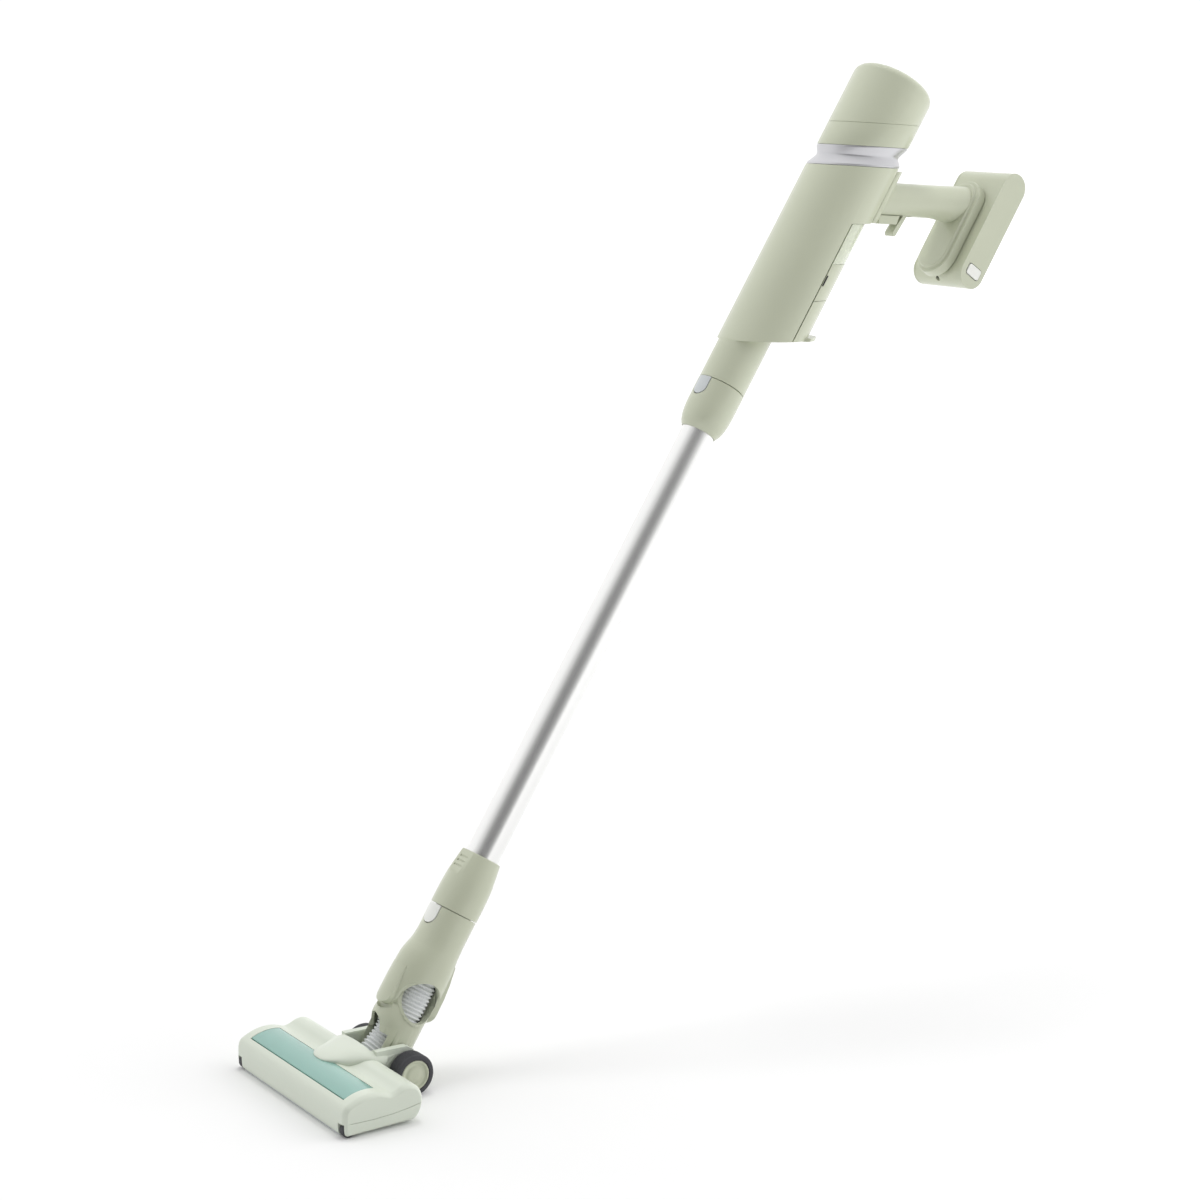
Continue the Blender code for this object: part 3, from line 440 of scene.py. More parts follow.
def cap():
    """The hollow top cap, with a rounded rim and a thin seam round it."""
    edge, groove = 9, CAP_R - 0.5
    rim = arc(CAP_R - edge, CAP_TOP - edge, edge, 0, 90, 12)
    seam = [(CAP_R, 27.3), (groove, 27.2), (groove, 26.8), (CAP_R, 26.7), (CAP_R, 1), (groove, 0)]
    rings = [(0, CAP_TOP), *rim[::-1], *[(r, CAP_LOW + s, TOP_SLOPE) for r, s in seam]]
    rings += [(41, CAP_LOW, TOP_SLOPE), (41, CAP_TOP - 12), (34, CAP_TOP - 4), (0, CAP_TOP - 4)]
    piece("cap", lathe(rings, BODY_Y, TURNED), STICK, "top_cap", SHELL, "top_cap", bevel=0)


def duct():
    """The inlet duct: a spigot for the wand, a wide stem, and a closed tube up to the bin's port."""
    shoulder = BODY_LOW + 0.3 - SLOPE * BODY_Y
    rings = [(0, 881.5), (15.8, 881.5), (15.8, 708), (18.4, 708), (19, 709), (19, UPPER_SEAM)]
    rings += [(24.2, UPPER_SEAM), (24.8, UPPER_SEAM + 0.5), (24.8, shoulder, SLOPE)]
    rings += [(18.6, shoulder, SLOPE), (18.6, 884), (0, 884)]
    port = lay(rod(11, 8, 30), "y", (0, 0, INLET))
    ridge = box((-2.2, 23.5, 749), (2.2, 25.7, 830))
    piece("duct", lathe(rings), STICK, "main_unit", SHELL, "inlet_duct", [(CUT, port)], bevel=0.25)
    piece("duct_ridge", ridge, STICK, "main_unit", SHELL)


def dust_bin():
    """The bin's clear window and green cover, the hinged latch panel with its lip, and black blocks of
    painted shade for the slits in its sides.
    """
    window = rear_panel(BIN_SPLIT + 0.2, BIN_TOP - 0.3)
    piece("bin_glass", window, STICK, "dust_bin", SMOKE, "bin_window", bevel=0.3)
    cover = rear_panel(LATCH_TOP + 0.3, BIN_SPLIT)
    piece("bin_cover", cover, STICK, "dust_bin", SHELL, "bin_panel", bevel=0.4)
    catch = rear_panel(BODY_LOW, LATCH_TOP - 0.1)
    edge = rear(46.5, 62, 1.0) + rear(BIN_SKIN + 1, 62)[::-1]
    tools = [(ADD, sheared(edge, BODY_LOW - 0.5, BODY_LOW + 3.4))]
    piece("bin_catch", catch, STICK, "bin_latch", SHELL, "bin_latch", tools, bevel=0.4)
    for side, label in SIDES:
        # each slit is a solid black block set into the surface, painted shade where the opening would be dark
        slit = box((side * 43.2 - 0.6, 22.9, 884), (side * 43.2 + 0.6, 24.6, 896))
        piece(f"bin_slit_shade_{label}", slit, STICK, "dust_bin", SLIT_SHADE, bevel=0.15)


def bin_inside():
    """The cup, cyclone cone and mesh sleeve, drawn in to suit the shallower bin."""
    low, high = BODY_LOW + 5, BIN_TOP - 0.8
    cyclone = (0, 40.5, 0)
    wall = sheared(rear(40.8, 84) + rear(39.4, 84)[::-1], low, high)
    front = sheared([(-40.2, 25.2), (40.2, 25.2), (40.2, 26.6), (-40.2, 26.6)], low + 0.1, high - 0.1)
    base = sheared(rear(40.1, 83), low + 0.2, low + 1.8)
    port = lay(rod(11.5, 20, 32), "y", (0, 0, INLET))
    tools = [(ADD, front), (ADD, base), (CUT, port)]
    piece("bin_liner", wall, STICK, "dust_bin", SMOKE, "bin_cup", tools, bevel=0)
    cone = shift(lathe([(0, 864), (5.5, 864), (11.8, 924), (11.8, 954), (0, 954)]), cyclone)
    piece("cone", cone, STICK, "dust_bin", WHITE, "cyclone_cone", bevel=0.4)
    sleeve = shift(lathe([(12.2, 926), (12.9, 926), (12.9, 953), (12.2, 953)]), cyclone)
    piece("sleeve", sleeve, STICK, "dust_bin", STEEL, "mesh_sleeve", bevel=0)


# ---------------------------------------------------------------- battery and trigger

PACK_Y, PACK_LOW, PACK_TOP = 200.2, 1003.2, 1107.2  # middle of each round end, seen along X
PACK_LEFT, PACK_RIGHT = -37.3, 37.3
SOCKET = (0, 192, 0)


def pack_outline(radius):
    """The pack seen from its side: two straight edges and two round ends."""
    low_end = arc(PACK_Y, PACK_LOW, radius, 180, 360, 40)
    return low_end + arc(PACK_Y, PACK_TOP, radius, 0, 180, 40)


def key_outline(half, reach, corner):
    """An upright round-cornered outline over the battery's release button."""
    return [(b + 201, a + 1005.5) for a, b in rounded(half, -reach, reach, corner)]


def battery():
    """The hollow pack, its end lid, the ring round its charging socket, and its button."""
    tools = [
        (CUT, prism(pack_outline(14.2), -50, 31.5, "x")),
        (CUT, prism(key_outline(6.6, 10.6, 3.4), 33, 50, "x")),
        (CUT, shift(rod(2.6, 970, 999, 40), SOCKET)),
    ]
    shell = prism(pack_outline(16.5), -34, PACK_RIGHT, "x")
    piece("battery_shell", shell, STICK, "battery", SHELL, "battery_case", tools, bevel=1.5, angle=50)
    lid = prism(pack_outline(16.5), PACK_LEFT, -34.1, "x")
    piece("battery_lid", lid, STICK, "battery", SHELL, "battery_end", bevel=1.2, angle=50)
    ring = shift(lathe([(1.2, 991.5), (2.4, 991.5), (2.4, 995), (1.2, 995)], 0, 48), SOCKET)
    piece("port_ring", ring, STICK, "battery", DARK, "charge_socket", bevel=0.2)
    key = prism(key_outline(5.8, 9.8, 2.8), 35.2, 38.2, "x")
    piece("battery_key", key, STICK, "battery_button", WHITE, "battery_button", bevel=0.6)


def trigger():
    """The J-shaped trigger, and the lock slider beside it under the grip."""
    corners = [(25.5, -7.5), (25.5, -14.8), (20.2, -17.5), (12.4, -29), (7.0, -37.2)]
    radii = [0.5, 1.5, 3, 12, 2.6]
    corners += [(3.0, -38.6), (2.6, -34.2), (5.4, -29.6), (14.6, -17.5), (15, -7.5)]
    radii += [1.9, 2.5, 8, 3, 0.5]
    lever = prism(fillet(corners, radii), -6.2, 6.2, "x")
    piece("trigger_lever", lever, GRIP, "trigger", SHELL, "trigger", bevel=1.0, angle=30)
    block = prism([(-19, -25.5), (6.2, -25.5), (10.0, -16.4), (-19, -16.4)], -7.6, 7.6, "x")
    clear = lay(rod(17.5, -40, 40, 96), "y")
    piece("lock_key", block, GRIP, "lock_slider", SHELL, "lock_slider", [(CUT, clear)])


# ---------------------------------------------------------------- wand and neck

TUBE_R, COLLAR_R = 17.5, 25.0
KEY_DROP = 21  # a release key's foot, below its seam


def u_outline(half, low, high):
    """A U: round at its foot and open at its top."""
    return arc(0, low + half, half, 180, 360, 28) + [(half, high), (-half, high)]


def release(name, seam, body, look, node):
    """A U-shaped key that follows the collar's curve, under one seam."""
    low = seam - KEY_DROP
    block = prism(u_outline(8.7, low + 0.7, low + 20.7), -30, -10, "y")
    skin = lathe([(25.25, low - 9), (25.25, low + 30), (22, low + 30), (22, low - 9)], 0, TURNED)
    piece(name, block, STICK, body, look, node, [(KEEP, skin)], bevel=0.35)


def u_slot(seam):
    """The opening that a release key sits in."""
    low = seam - KEY_DROP
    return prism(u_outline(9.6, low - 0.2, low + 26), -36, -15, "y")


def tube():
    """The wand's bright metal tube."""
    bore = TUBE_R - 1.2
    rings = [(TUBE_R, 170), (TUBE_R, 705), (bore, 705), (bore, 170)]
    mesh = lathe(rings, 0, TURNED)
    piece("tube", mesh, STICK, "wand", TUBE, "wand_tube", bevel=0)


def collar_upper():
    """The collar that widens from the tube to the duct, with its release key."""
    top = UPPER_SEAM - 0.8
    rings = [(17.8, 695.2), (18.6, 695), (18.9, 695.4), (21.7, 700.4), (23.5, 706.5), (24.6, 714)]
    rings += [(COLLAR_R, 723), (COLLAR_R, top - 0.4), (24.6, top), (19.4, top), (19.4, 706.5), (17.8, 706.5)]
    mesh = lathe(rings, 0, TURNED)
    tools = [(CUT, u_slot(UPPER_SEAM))]
    piece("collar_upper", mesh, STICK, "wand", SHELL, "upper_collar", tools, bevel=0.2, angle=40)
    release("wand_key", UPPER_SEAM, "wand_button", GREY, "wand_release_button")


def collar_lower():
    """The collar and spigot at the tube's foot, with a ribbed facet in front."""
    rings = [(15.8, 115.5), (18.6, 115.5), (19, 116), (19, 155.8), (24.5, 155.8), (24.9, 156.2)]
    rings += [(COLLAR_R, 160), (24.9, 176), (24.3, 190), (20.8, 214.6), (20.0, 216), (17.8, 216)]
    rings += [(17.8, 169), (15.8, 169)]
    tools = [(CUT, prism([(-40, 191), (-23.0, 191), (-17.4, 219), (-40, 219)], -30, 30, "x"))]
    for i in range(3):
        s = 197 + 5.2 * i
        y = -23.0 + 5.6 * (s - 191) / 28
        groove = [(y - 1.2, s), (y + 0.9, s + 0.5), (y + 0.9, s + 2.0), (y - 1.2, s + 2.5)]
        tools.append((CUT, prism(groove, -6.5, 6.5, "x")))
    mesh = lathe(rings, 0, TURNED)
    piece("collar_lower", mesh, STICK, "wand", SHELL, "lower_collar", tools, bevel=0.3, angle=30)


def oval(s, half, front, rear_depth):
    """A loop at height s, with its own depth to the front and to the rear."""
    loop = []
    for i in range(96):
        angle = math.tau * i / 96
        depth = rear_depth if math.cos(angle) > 0 else front
        loop.append((half * math.sin(angle), depth * math.cos(angle), s))
    return loop


def pad_outline(s):
    """The front lug's raised face at one height, which fades into the neck at its top."""
    half = 11.3 * math.sqrt(1 - ((57 - s) / 10.5) ** 2) if s < 57 else 11.3
    front = 31.2 + 1.3 * min(1, (s - 47) / 25) + 1.4 * max(0, min(1, (88 - s) / 34))
    edge = []
    for i in range(17):
        x = half * (2 * i / 16 - 1)
        edge.append((x, -front * math.sqrt(1 - (x / 27) ** 2), s))
    return [(half, -18, s), (-half, -18, s), *edge]


def ball(radius):
    """A sphere at the swivel."""
    points = arc(0, SWIVEL, radius, -90, 90, 47)
    return lathe([(0, points[0][1]), *points[1:-1], (0, points[-1][1])], 0, 100)


def lug_front():
    """The neck seen from the front: round lugs that widen to its full width."""
    rise = [(13.6, 64), (16.2, 71), (20, 76.6), (25.4, 83), (30, 87)]
    left = [(-x, s) for x, s in reversed(rise)]
    return arc(0, 60.5, 13.4, 180, 360, 32) + rise + [(30, 170), (-30, 170)] + left


def neck():
    """The neck: a tube that flares into one lug in front of the elbow and one behind it.

    The bore and the ball have their own counts of segments, so that no edge of theirs lies on an
    edge that they cut, which would leave holes.
    """
    top = LOWER_SEAM - 0.3
    stations = [(44, 24.8, 27.6, 28.4), (60, 25.2, 28.6, 28.3), (72, 25.6, 30.3, 28.2)]
    stations += [(84, 25.8, 31.9, 28.0), (93, 25.8, 32.3, 27.6), (101, 25.6, 31.5, 27.0)]
    stations += [(108, 25.3, 29.5, 26.2), (114, 24.9, 27.1, 25.5), (120, 24.7, 25.4, 25.0)]
    stations += [(128, 24.6, 24.6, 24.6), (top - 0.5, 24.6, 24.6, 24.6), (top, 24.2, 24.2, 24.2)]
    pad = layers([pad_outline(s) for s in (47.2, 48.2, 50, 53, 57, 62, 68, 74, 80, 85, 89)])
    boss = [(20, 46), (29.2, 46), (29.6, 60), (29.2, 76), (27.6, 90), (24, 108), (20, 108)]
    arch = [(-20, 30), (20, 30), *arc(0, SWIVEL, 20.6, 6, 174, 40)]
    bore = [(0, 55), (20.3, 55), (20.3, 112), (19.4, 113), (19.4, 170), (0, 170)]
    swivel = (0, 0, SWIVEL)
    tools = [
        (ADD, pad),
        (ADD, prism(boss, -12.5, 12.5, "x")),
        (KEEP, prism(lug_front(), -40, 40, "y")),
        (CUT, ball(25.8)),
        (CUT, prism(arch, -40, 40, "x")),
        (CUT, lathe(bore, 0, 122)),
        (CUT, u_slot(LOWER_SEAM)),
        (CUT, lay(rod(PIN_BORE, 0, 50), "y", swivel)),
        (CUT, lay(rod(7.0, 28.9, 50), "y", swivel)),
    ]
    shell = layers([oval(*station) for station in stations])
    piece("neck_shell", shell, STICK, "neck", SHELL, "neck_upper", tools, bevel=0.7, angle=34)
    release("head_key", LOWER_SEAM, "head_button", WHITE, "head_release_button")
    cuff = lathe([(TUBE_R, 100.5), (TUBE_R, 113.5), (15.8, 113.5), (15.8, 100.5)])
    piece("cuff", cuff, STICK, "neck", DARK, "hose_cuff", bevel=0)
    for name, low, high in (("front", -30.4, -21.4), ("rear", 21.4, 28.8)):
        pin = lay(rod(4.0, low, high), "y", swivel)
        piece(f"swivel_{name}", pin, STICK, "neck", STEEL, f"swivel_pin_{name}", bevel=0.4)


CHIN = [  # height, half width and depth of the elbow's chin, from its foot up
    (14, 20, 22.4), (25, 22.6, 23.8), (29, 23.3, 25.8), (35, 23.8, 28.8),
    (40, 23.8, 29.3), (46, 23.6, 28.2), (52, 23.2, 26),
]


def lip(side):
    """The raised rim round the lower half of the elbow's side hole."""
    outer_r, inner_r, ball_r, thick = 22.9, 20.2, 25.5, 4.5
    loops = []
    for y_out, z_out in arc(0, SWIVEL, outer_r, 176, 364, 60):
        y_in, z_in = y_out * inner_r / outer_r, SWIVEL + (z_out - SWIVEL) * inner_r / outer_r
        outer, inner = (math.sqrt(ball_r**2 - y**2) for y in (y_out, y_in))
        loops.append(
            [(side * outer, y_out, z_out), (side * inner, y_in, z_in)]
            + [(side * (inner - thick), y_in, z_in), (side * (outer - thick), y_out, z_out)]
        )
    return layers(loops)


def elbow():
    """The elbow: a ball on a tube, open at both sides and in front, over the pitch axle's rod.

    The bores differ from the body in their counts of segments, and the mouth from the box in its
    planes, so that no face or edge of one tool lies on another's.
    """
    swivel, axle = (0, 0, SWIVEL), (0, STEP, 0)
    stem = 24.6
    mouth = arc(-2.5, 26, 10.5, 0, 180, 28) + [(-17, 20), (-20.5, 8), (-21, 2), (-21, -30), (18.5, -30)]
    mouth += [(18.5, 2), (16.5, 12), (10.5, 22)]
    chin = layers([oval(z, half, front, 10) for z, half, front in CHIN])
    inside = layers([oval(z, half - 3.2, front - 2.8, 8) for z, half, front in CHIN[:-2]])
    join = math.degrees(math.acos(stem / COLLAR_R))
    top = arc(0, SWIVEL, COLLAR_R, -join, 78, 40)
    body = lathe([(0, 2), (stem, 2), *top, (0, top[-1][1])], 0, 128)
    tools = [
        (ADD, chin),
        (CUT, lay(rod(20.6, -60, -23.6, 96), "y", swivel)),
        (ADD, lay(rod(16.5, -24.8, 24.8, 96), "x", axle)),
        (ADD, lip(-1)),
        (ADD, lip(1)),
        (CUT, rod(20.1, 16, 110, 90)),
        (CUT, inside),
        (CUT, lay(rod(20.35, -40, 40, 102), "x", swivel)),
        (CUT, lay(rod(PIN_BORE, -50, 50), "y", swivel)),
        (CUT, prism(mouth, -41, -5.3, "y")),
        (CUT, box((-18.1, -42, -22), (18.1, 16.2, 21.7))),
        (CUT, lay(rod(AXLE_BORE, -40, 40), "x", axle)),
    ]
    piece("elbow_shell", body, STICK, "elbow", SHELL, "neck_lower", tools, bevel=0.6, angle=34)


def hose_line(end):
    """The hose's middle line: straight down the neck, then one Hermite curve into the head."""
    low = Vector((0, -0.5, 30))
    turn = Matrix.Rotation(LEAN, 4, "X")
    start_way, end_way = Vector((0, -1, -30)), turn @ Vector((0, -22, -21))
    line = [Vector((0, -0.5 * i / 69, 99 - i)) for i in range(70)]
    for i in range(141):
        t = i / 140
        h = (2 * t**3 - 3 * t**2 + 1, t**3 - 2 * t**2 + t, -2 * t**3 + 3 * t**2, t**3 - t**2)
        line.append(h[0] * low + h[1] * start_way + h[2] * end + h[3] * end_way)
    return line


def hose_radius(distance):
    """Round ribs 4 mm apart, on a hose that narrows towards its foot."""
    wave = 0.5 + 0.5 * math.cos(math.tau * distance / 4.0)
    return 17.0 + 2.2 * wave**0.7 - 2.4 * max(0.0, min(1.0, (distance - 66) / 14))


def hose():
    """The ribbed hose, drawn in two lengths along one middle line."""
    end = Matrix.Rotation(LEAN, 4, "X") @ Vector((0, -23, 2)) + Vector((0, STEP, 0))
    line = hose_line(end)
    walked = [0.0]
    for a, b in zip(line, line[1:]):
        walked.append(walked[-1] + (b - a).length)

    def at(distance):
        for i in range(1, len(line)):
            if walked[i] >= distance:
                f = (distance - walked[i - 1]) / max(1e-9, walked[i] - walked[i - 1])
                return line[i - 1].lerp(line[i], f)
        return line[-1]

    total, split, overlap, step, around = walked[-1], 62.0, 0.2, 0.4, 64
    side = Vector((1, 0, 0))
    spin = [math.tau * k / around for k in range(around)]
    for name, low_end, high_end in (("hose_top", 0.0, split), ("hose_foot", split - overlap, total)):
        loops = []
        steps = int((high_end - low_end) / step)
        for i in range(steps + 1):
            here = low_end + (high_end - low_end) * i / steps
            way = at(min(total, here + 2 * step)) - at(max(0, here - 2 * step))
            up = side.cross(way).normalized()
            radius = hose_radius(here)
            loops.append([at(here) + radius * (math.cos(a) * side + math.sin(a) * up) for a in spin])
        obj = raw(name, layers(loops), STICK)
        obj.data.materials.append(HOSE)
        obj.data.shade_smooth()
        if name == "hose_top":
            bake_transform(obj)
            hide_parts("flexible_hose")
        else:
            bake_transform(obj)


# ---------------------------------------------------------------- floor head

PROFILE = smooth(
    [
        (-106.4, 1.4), (-109.2, 3.8), (-110.2, 9.5), (-110.3, 17.0), (-110.0, 24.5), (-107.6, 29.8),
        (-102.4, 33.2), (-93.5, 36.9), (-84.0, 38.7), (-74.5, 38.6), (-66.5, 36.8), (-59.5, 34.7),
        (-53.0, 36.0), (-46.0, 39.0), (-39.0, 39.6), (-32.0, 37.0), (-26.6, 31.2), (-24.2, 24.0),
        (-24.6, 16.5), (-27.4, 9.0), (-32.0, 3.6), (-37.0, 2.6),
    ],
    6,
)
SEAM = [(-130, 14.6), (-105, 14.8), (-102, 14.8), (-80, 14.4), (-60, 15.2), (-42, 17.3), (-30, 19.4), (0, 24)]
ROLLER_X = 99.8
COVER_HALF = 91.6


def head_block():
    """The whole housing: its end profile, with softly rounded ends."""
    flat, round_off = 101.0, 4.6
    loops = []
    for side in (-1, 1):
        stations = []
        for angle in range(0, 91, 15):
            a = math.radians(angle)
            x = flat + round_off * math.sin(a) + 1.4 * math.sin(a) ** 6
            stations.append((x, round_off * (1 - math.cos(a))))
        rows = [[(side * x, y, z) for y, z in drawn_in(PROFILE, wall)] for x, wall in stations]
        loops += rows[::-1] if side < 0 else rows
    return layers(loops)


def wells():
    """The two slots in the front edge that the small rollers turn in."""
    middles = [side * ROLLER_X for side in (-1, 1)]
    return [(CUT, box((x - 4.7, -120, -5), (x + 4.7, -94.6, 14.0))) for x in middles]


def head_cover():
    """The upper housing, with the opening for the clear cover and the bay for the bonnet."""
    above = prism([*SEAM, (0, 60), (-130, 60)], -130, 130, "x")
    inner = [p for p in shrunk(PROFILE, 2.4) if p[1] > 12]
    hollow = prism(inner + [(inner[-1][0], -5), (inner[0][0], -5)], -102, 102, "x")
    opening = box((-COVER_HALF, -102.5, 25), (COVER_HALF, -69.8, 60))
    bay = box((-25.2, -50, -5), (25.2, 0, 60))
    tools = [(KEEP, above), (CUT, hollow), (CUT, opening), (CUT, bay), *wells()]
    piece("head_cover", head_block(), HEAD, "floor_head", HEAD_SHELL, "head_top", tools, bevel=0.35, angle=40)


def head_sole():
    """The lower housing, with rooms for the brush, its drive and the duct."""
    edge = [(y, z - (0.06 if y < -103 else 0.45)) for y, z in SEAM]
    below = prism(edge + [(0, -20), (-130, -20)], -130, 130, "x")
    rooms = [
        box((-93, -100, -10), (93, -63.5, 40)),
        box((-102.5, -99.5, 6), (-92, -30, 40)),
        box((-93.5, -62, 6), (-27, -31, 40)),
        box((27, -62, 6), (100, -31, 40)),
        box((-24.6, -66, 5.5), (24.6, -10, 40)),
    ]
    tools = [(KEEP, below), *wells(), *[(CUT, room) for room in rooms]]
    piece("head_sole", head_block(), HEAD, "floor_head", HEAD_SHELL, "head_base", tools, bevel=0.3, angle=40)


def cover_clear():
    """The clear cover, which follows the profile, and the strip under the front edge."""
    top = [p for p in PROFILE if -102.2 < p[0] < -70.1 and p[1] > 30]
    run = [(y, z - 0.25) for y, z in top] + [(y, z - 1.9) for y, z in top[::-1]]
    half = COVER_HALF - 0.3
    cover = prism(run, -half, half, "x")
    piece("cover_clear", cover, HEAD, "floor_head", TEAL, "window", bevel=0.25)
    strip = box((-94, -107.4, 0.6), (94, -104.4, 3.2))
    piece("sole_strip", strip, HEAD, "floor_head", GREY)


def bonnet():
    """The hump over the hose; a station is (y, half width, crown, edge, foot)."""
    stations = [
        (-79.0, 2.0, 39.2, 38.8, 38.6), (-78.4, 7.0, 39.9, 38.9, 38.6), (-76.8, 11.5, 40.9, 38.9, 38.4),
        (-74.0, 15.5, 42.0, 38.8, 37.8), (-70.5, 18.8, 43.1, 38.4, 36.6), (-66.0, 21.8, 44.1, 37.2, 34.6),
        (-60.0, 25.0, 45.1, 35.4, 32.6), (-54.0, 28.4, 45.8, 35.2, 32.4), (-48.0, 31.8, 46.4, 36.6, 33.6),
        (-42.0, 34.4, 46.8, 37.4, 34.0), (-36.0, 36.0, 47.0, 36.4, 33.0), (-30.0, 36.6, 47.1, 34.4, 31.0),
        (-25.0, 36.4, 47.1, 33.4, 30.0), (-22.2, 35.4, 47.0, 34.4, 31.0), (-20.4, 33.9, 47.0, 37.0, 34.0),
        (-12.0, 33.6, 46.7, 39.0, 37.0), (-4.0, 33.6, 46.2, 39.0, 37.0), (2.0, 33.2, 45.4, 39.0, 37.0),
        (6.0, 32.0, 44.4, 39.0, 37.6),
    ]
    count = 40
    loops = []
    for y, half, crown, edge, foot in stations:
        loop = [(half * 0.97, y, foot)]
        for i in range(count + 1):
            a = math.pi * i / count
            u = math.copysign(abs(math.cos(a)) ** 0.72, math.cos(a))
            loop.append((half * u, y, edge + (crown - edge) * math.sin(a) ** 0.8))
        loop.append((-half * 0.97, y, foot))
        loops.append(loop)
    gap = box((-25.3, -35.2, 0), (25.3, 40, 80))
    tools = [(CUT, gap)]
    piece("bonnet_top", layers(loops), HEAD, "floor_head", HEAD_SHELL, "bonnet", tools, angle=50)


def axle_arms():
    """The two arms under the bonnet that hold the pitch axle's ends."""
    outline = [(-33, 34), (-33, 45.8), (1, 45.4), (8.5, 40.5), (9.5, 30), (9.5, 21)]
    outline += arc(0, AXLE, 9.5, -10, -180, 24) + [(-23.6, 21), (-23.6, 34)]
    for side, label in SIDES:
        low, high = sorted((side * 26.2, side * 33.4))
        arm = prism(outline, low, high, "x")
        hole = lay(rod(AXLE_BORE, -60, 60), "x", (0, 0, AXLE))
        tools = [(CUT, hole)]
        piece(f"axle_arm_{label}", arm, HEAD, "floor_head", HEAD_SHELL, tools=tools, bevel=0.8, angle=34)


def brush():
    """The brush roll, and four rows of bristles that turn to the middle from both ends."""
    brush_y, brush_z = -82, 17.5
    rings = [(0, -100), (2.5, -100), (2.5, -90), (10.5, -90), (10.5, 90), (2.5, 90), (2.5, 95.5), (0, 95.5)]
    core = lay(lathe(rings, 0, 64), "x", (0, brush_y, brush_z))
    piece("roll_core", core, HEAD, "brush", BRUSH, "brush_roll", bevel=0.2)
    steps, rows, half = 60, 4, 86
    tuft = ((9.0, -0.2), (16.2, -0.12), (16.4, 0), (16.2, 0.12), (9.0, 0.2))
    for k in range(rows):
        loops = []
        for i in range(steps + 1):
            x = -half + 2 * half * i / steps
            turn = math.tau * k / rows + math.radians(120) * abs(2 * i / steps - 1)
            loop = []
            for radius, spread in tuft:
                y = brush_y + radius * math.cos(turn + spread)
                loop.append((x, y, brush_z + radius * math.sin(turn + spread)))
            loops.append(loop)
        piece(f"bristles_{k + 1}", layers(loops), HEAD, "brush", BRUSH, bevel=0)


def wheel(side, label):
    """A rear wheel: a dished hub and a tyre with five grooves, drawn for the right side."""
    at = (0, 0, AXLE)
    mirror = Matrix.Scale(side, 4, (1, 0, 0))
    hub = [(AXLE_BORE, 35), (15.4, 35), (15.4, 50.4), (15.1, 51.2), (14.3, 51.5), (13.4, 51.2)]
    hub += [(12.9, 50.3), (12.2, 49.7), (8.6, 49.5), (8.2, 49.9), (4.0, 50.1), (0, 50.1), (0, 49.3)]
    hub += [(AXLE_BORE, 49.3)]
    mesh = lay(lathe(hub, 0, 96), "x", at)
    mesh.transform(mirror)
    body = f"wheel_{label}"
    piece(f"hub_{label}", closed(mesh), HEAD, body, SHELL, f"wheel_hub_{label}", bevel=0, angle=50)
    radius = 20.9
    tread = [(15.7, 34.5), (19.2, 34.5), (20.3, 35.2), (radius, 36.6)]
    for i in range(5):
        x = 38.2 + 2.3 * i
        tread += [(radius, x), (20.5, x + 0.25), (20.5, x + 0.75), (radius, x + 1.0)]
    tread += [(radius, 49.6), (20.3, 50.9), (19.2, 51.6), (17.5, 51.8), (15.7, 51.6)]
    mesh = lay(lathe(tread, 0, 128), "x", at)
    mesh.transform(mirror)
    tyre = closed(mesh)
    piece(f"tread_{label}", tyre, HEAD, body, RUBBER, f"tyre_{label}", bevel=0, angle=30)


def roller(side, label):
    """A small front roller."""
    rings = [(0, -4), (5.6, -4), (6.7, -3.4), (7.0, -2.4), (7.0, 2.4), (6.7, 3.4), (5.6, 4), (0, 4)]
    mesh = lay(lathe(rings, 0, 64), "x", (side * ROLLER_X, -102.6, 7.0))
    body, node = f"roller_{label}", f"front_roller_{label}"
    piece(f"roller_{label}", mesh, HEAD, body, RUBBER, node, bevel=0)


def wheels():
    """A wheel and a front roller at each side."""
    for side, label in SIDES:
        wheel(side, label)
        roller(side, label)


# ---------------------------------------------------------------- CAD nodes that stay shown


def inner_finishes():
    """Looks for the CAD nodes inside; those not named here are cells, or get replaced below."""
    looks = {
        "motor_housing": DARK, "motor_stator": STEEL, "chamber_plate": SHELL, "control_board": BOARD,
        "impeller": SILVER, "exhaust_filter": PAPER,
        "trigger_pin": STEEL, "trigger_switch": DARK, "brush_motor": STEEL, "drive_belt": RUBBER,
        "wheel_axle_left": STEEL, "wheel_axle_right": STEEL, "brush_pulley": DARK, "motor_pulley": DARK,
    }
    for name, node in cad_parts.items():
        look = CELL if name.startswith("cell_") else looks.get(name, SHELL)
        node.data.materials.clear()
        node.data.materials.append(look)
        node.data.shade_smooth()
        node.data.set_sharp_from_angle(angle=math.radians(35))


# ---------------------------------------------------------------- camera, light and floor


def camera():
    """The view from the right and the front, from about as high as the cap."""
    at = (2.0131, -1.5273, 0.9484)
    yaw, pitch, roll = 0.949, -0.1966, 0.0238
    ahead = Vector((-math.sin(yaw) * math.cos(pitch), math.cos(yaw) * math.cos(pitch), math.sin(pitch)))
    right = Vector((math.cos(yaw), math.sin(yaw), 0))
    up = right.cross(ahead)
    right, up = (
        right * math.cos(roll) + up * math.sin(roll),
        up * math.cos(roll) - right * math.sin(roll),
    )
    data = bpy.data.cameras.new("camera")
    data.sensor_width = 36
    data.lens = 75.92
    data.clip_end = 100
    cam = bpy.data.objects.new("camera", data)
    bpy.context.scene.collection.objects.link(cam)
    turn = Matrix((right, up, -ahead)).transposed().to_4x4()
    cam.matrix_world = Matrix.Translation(at) @ turn
    bpy.context.scene.camera = cam


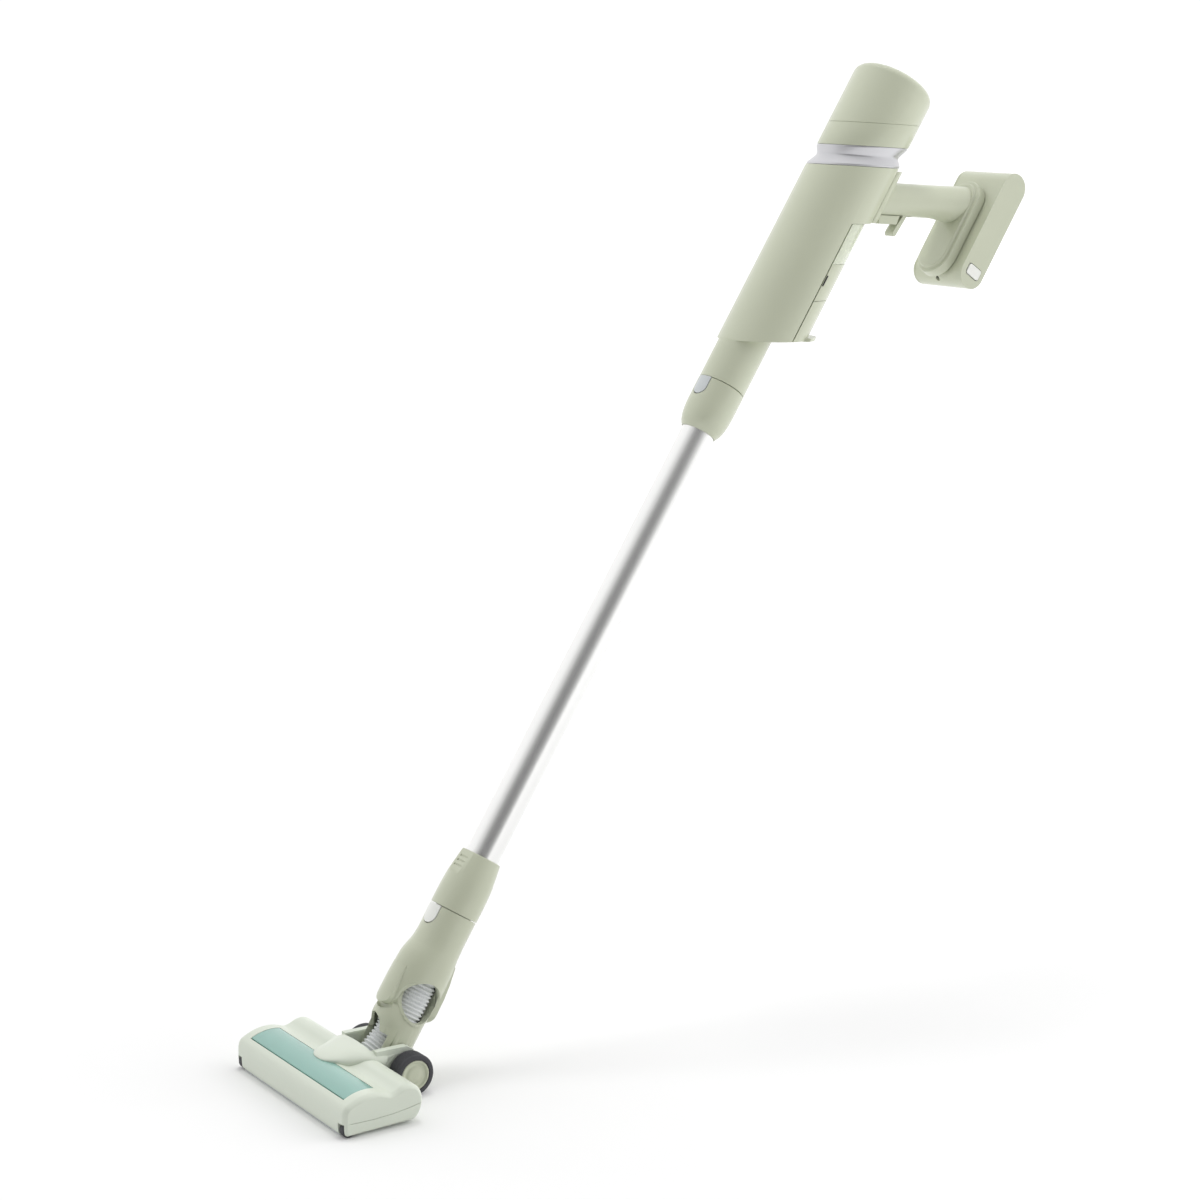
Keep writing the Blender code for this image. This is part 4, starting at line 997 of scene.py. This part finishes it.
def lamp(name, at, aim, size, power):
    """A square lamp that leaves no mirror image of itself."""
    data = bpy.data.lights.new(name, "AREA")
    data.shape = "RECTANGLE"
    data.size = data.size_y = size
    data.energy = power
    obj = bpy.data.objects.new(name, data)
    bpy.context.scene.collection.objects.link(obj)
    obj.location = at
    obj.rotation_mode = "QUATERNION"
    obj.rotation_quaternion = (Vector(aim) - Vector(at)).to_track_quat("-Z", "Y")
    obj.visible_glossy = False


def floor():
    """A white floor, whose own glow grows with distance until it meets the background."""
    mesh = bmesh.new()
    bmesh.ops.create_grid(mesh, x_segments=1, y_segments=1, size=90000)
    obj = raw("floor", mesh, Matrix.Identity(4))
    paper = finish("floor_white", (0.865, 0.865, 0.865), 0.8, grain=0.0, vary=0.004)
    nodes, links = paper.node_tree.nodes, paper.node_tree.links
    shader = nodes["Principled BSDF"]
    shader.inputs["Specular IOR Level"].default_value = 0.1
    shader.inputs["Emission Color"].default_value = (1, 1, 1, 1)
    glow = nodes.new("ShaderNodeMapRange")
    glow.inputs["From Min"].default_value = 0.4
    glow.inputs["From Max"].default_value = 3.0
    glow.inputs["To Min"].default_value = 0.04
    glow.inputs["To Max"].default_value = 0.34
    distance = nodes.new("ShaderNodeVectorMath")
    distance.operation = "LENGTH"
    where = nodes.new("ShaderNodeTexCoord")
    links.new(where.outputs["Object"], distance.inputs[0])
    links.new(distance.outputs["Value"], glow.inputs["Value"])
    links.new(glow.outputs["Result"], shader.inputs["Emission Strength"])
    obj.data.materials.append(paper)


def room():
    """A white room that darkens towards one side, which gives every round part its darker middle."""
    dark_side = (0.797, -0.571, 0.195)
    stops = [(0.0, 1.06), (0.3, 0.98), (0.5, 0.80), (0.68, 0.62), (0.88, 0.24), (1.0, 0.06)]
    world = bpy.data.worlds.new("world")
    bpy.context.scene.world = world
    world.use_nodes = True
    nodes, links = world.node_tree.nodes, world.node_tree.links
    sky = nodes["Background"]
    sky.inputs["Color"].default_value = (1, 1, 1, 1)
    way = nodes.new("ShaderNodeTexCoord")
    toward = nodes.new("ShaderNodeVectorMath")
    toward.operation = "DOT_PRODUCT"
    toward.inputs[1].default_value = dark_side
    fade = nodes.new("ShaderNodeValToRGB")
    ramp = fade.color_ramp
    ramp.elements.remove(ramp.elements[1])
    for k, (place, value) in enumerate(stops):
        stop = ramp.elements[0] if k == 0 else ramp.elements.new(place)
        stop.position = place
        stop.color = (value, value, value, 1)
    links.new(way.outputs["Generated"], toward.inputs[0])
    links.new(toward.outputs["Value"], fade.inputs["Fac"])
    links.new(fade.outputs["Color"], sky.inputs["Strength"])


def studio():
    """Floor, room, lamps and render settings."""
    floor()
    room()
    lamp("top", (-0.42, 0.05, 3.0), (0, 0, 0.2), 0.55, 14)
    lamp("right", (1.3, 2.2, 1.7), (0, 0.2, 0.6), 1.8, 20)
    lamp("left", (-1.5, -1.9, 1.7), (0, 0, 0.5), 1.8, 2.5)
    scene = bpy.context.scene
    scene.render.engine = "CYCLES"
    scene.render.resolution_x = 1024
    scene.render.resolution_y = 1024
    scene.cycles.samples = 128
    scene.view_settings.view_transform = "Standard"
    scene.view_settings.look = "None"


inner_finishes()
case()
band()
grip_root()
grip()
dock()
cap()
duct()
dust_bin()
bin_inside()
battery()
trigger()
tube()
collar_upper()
collar_lower()
neck()
elbow()
hose()
head_cover()
head_sole()
cover_clear()
bonnet()
axle_arms()
brush()
wheels()
camera()
studio()
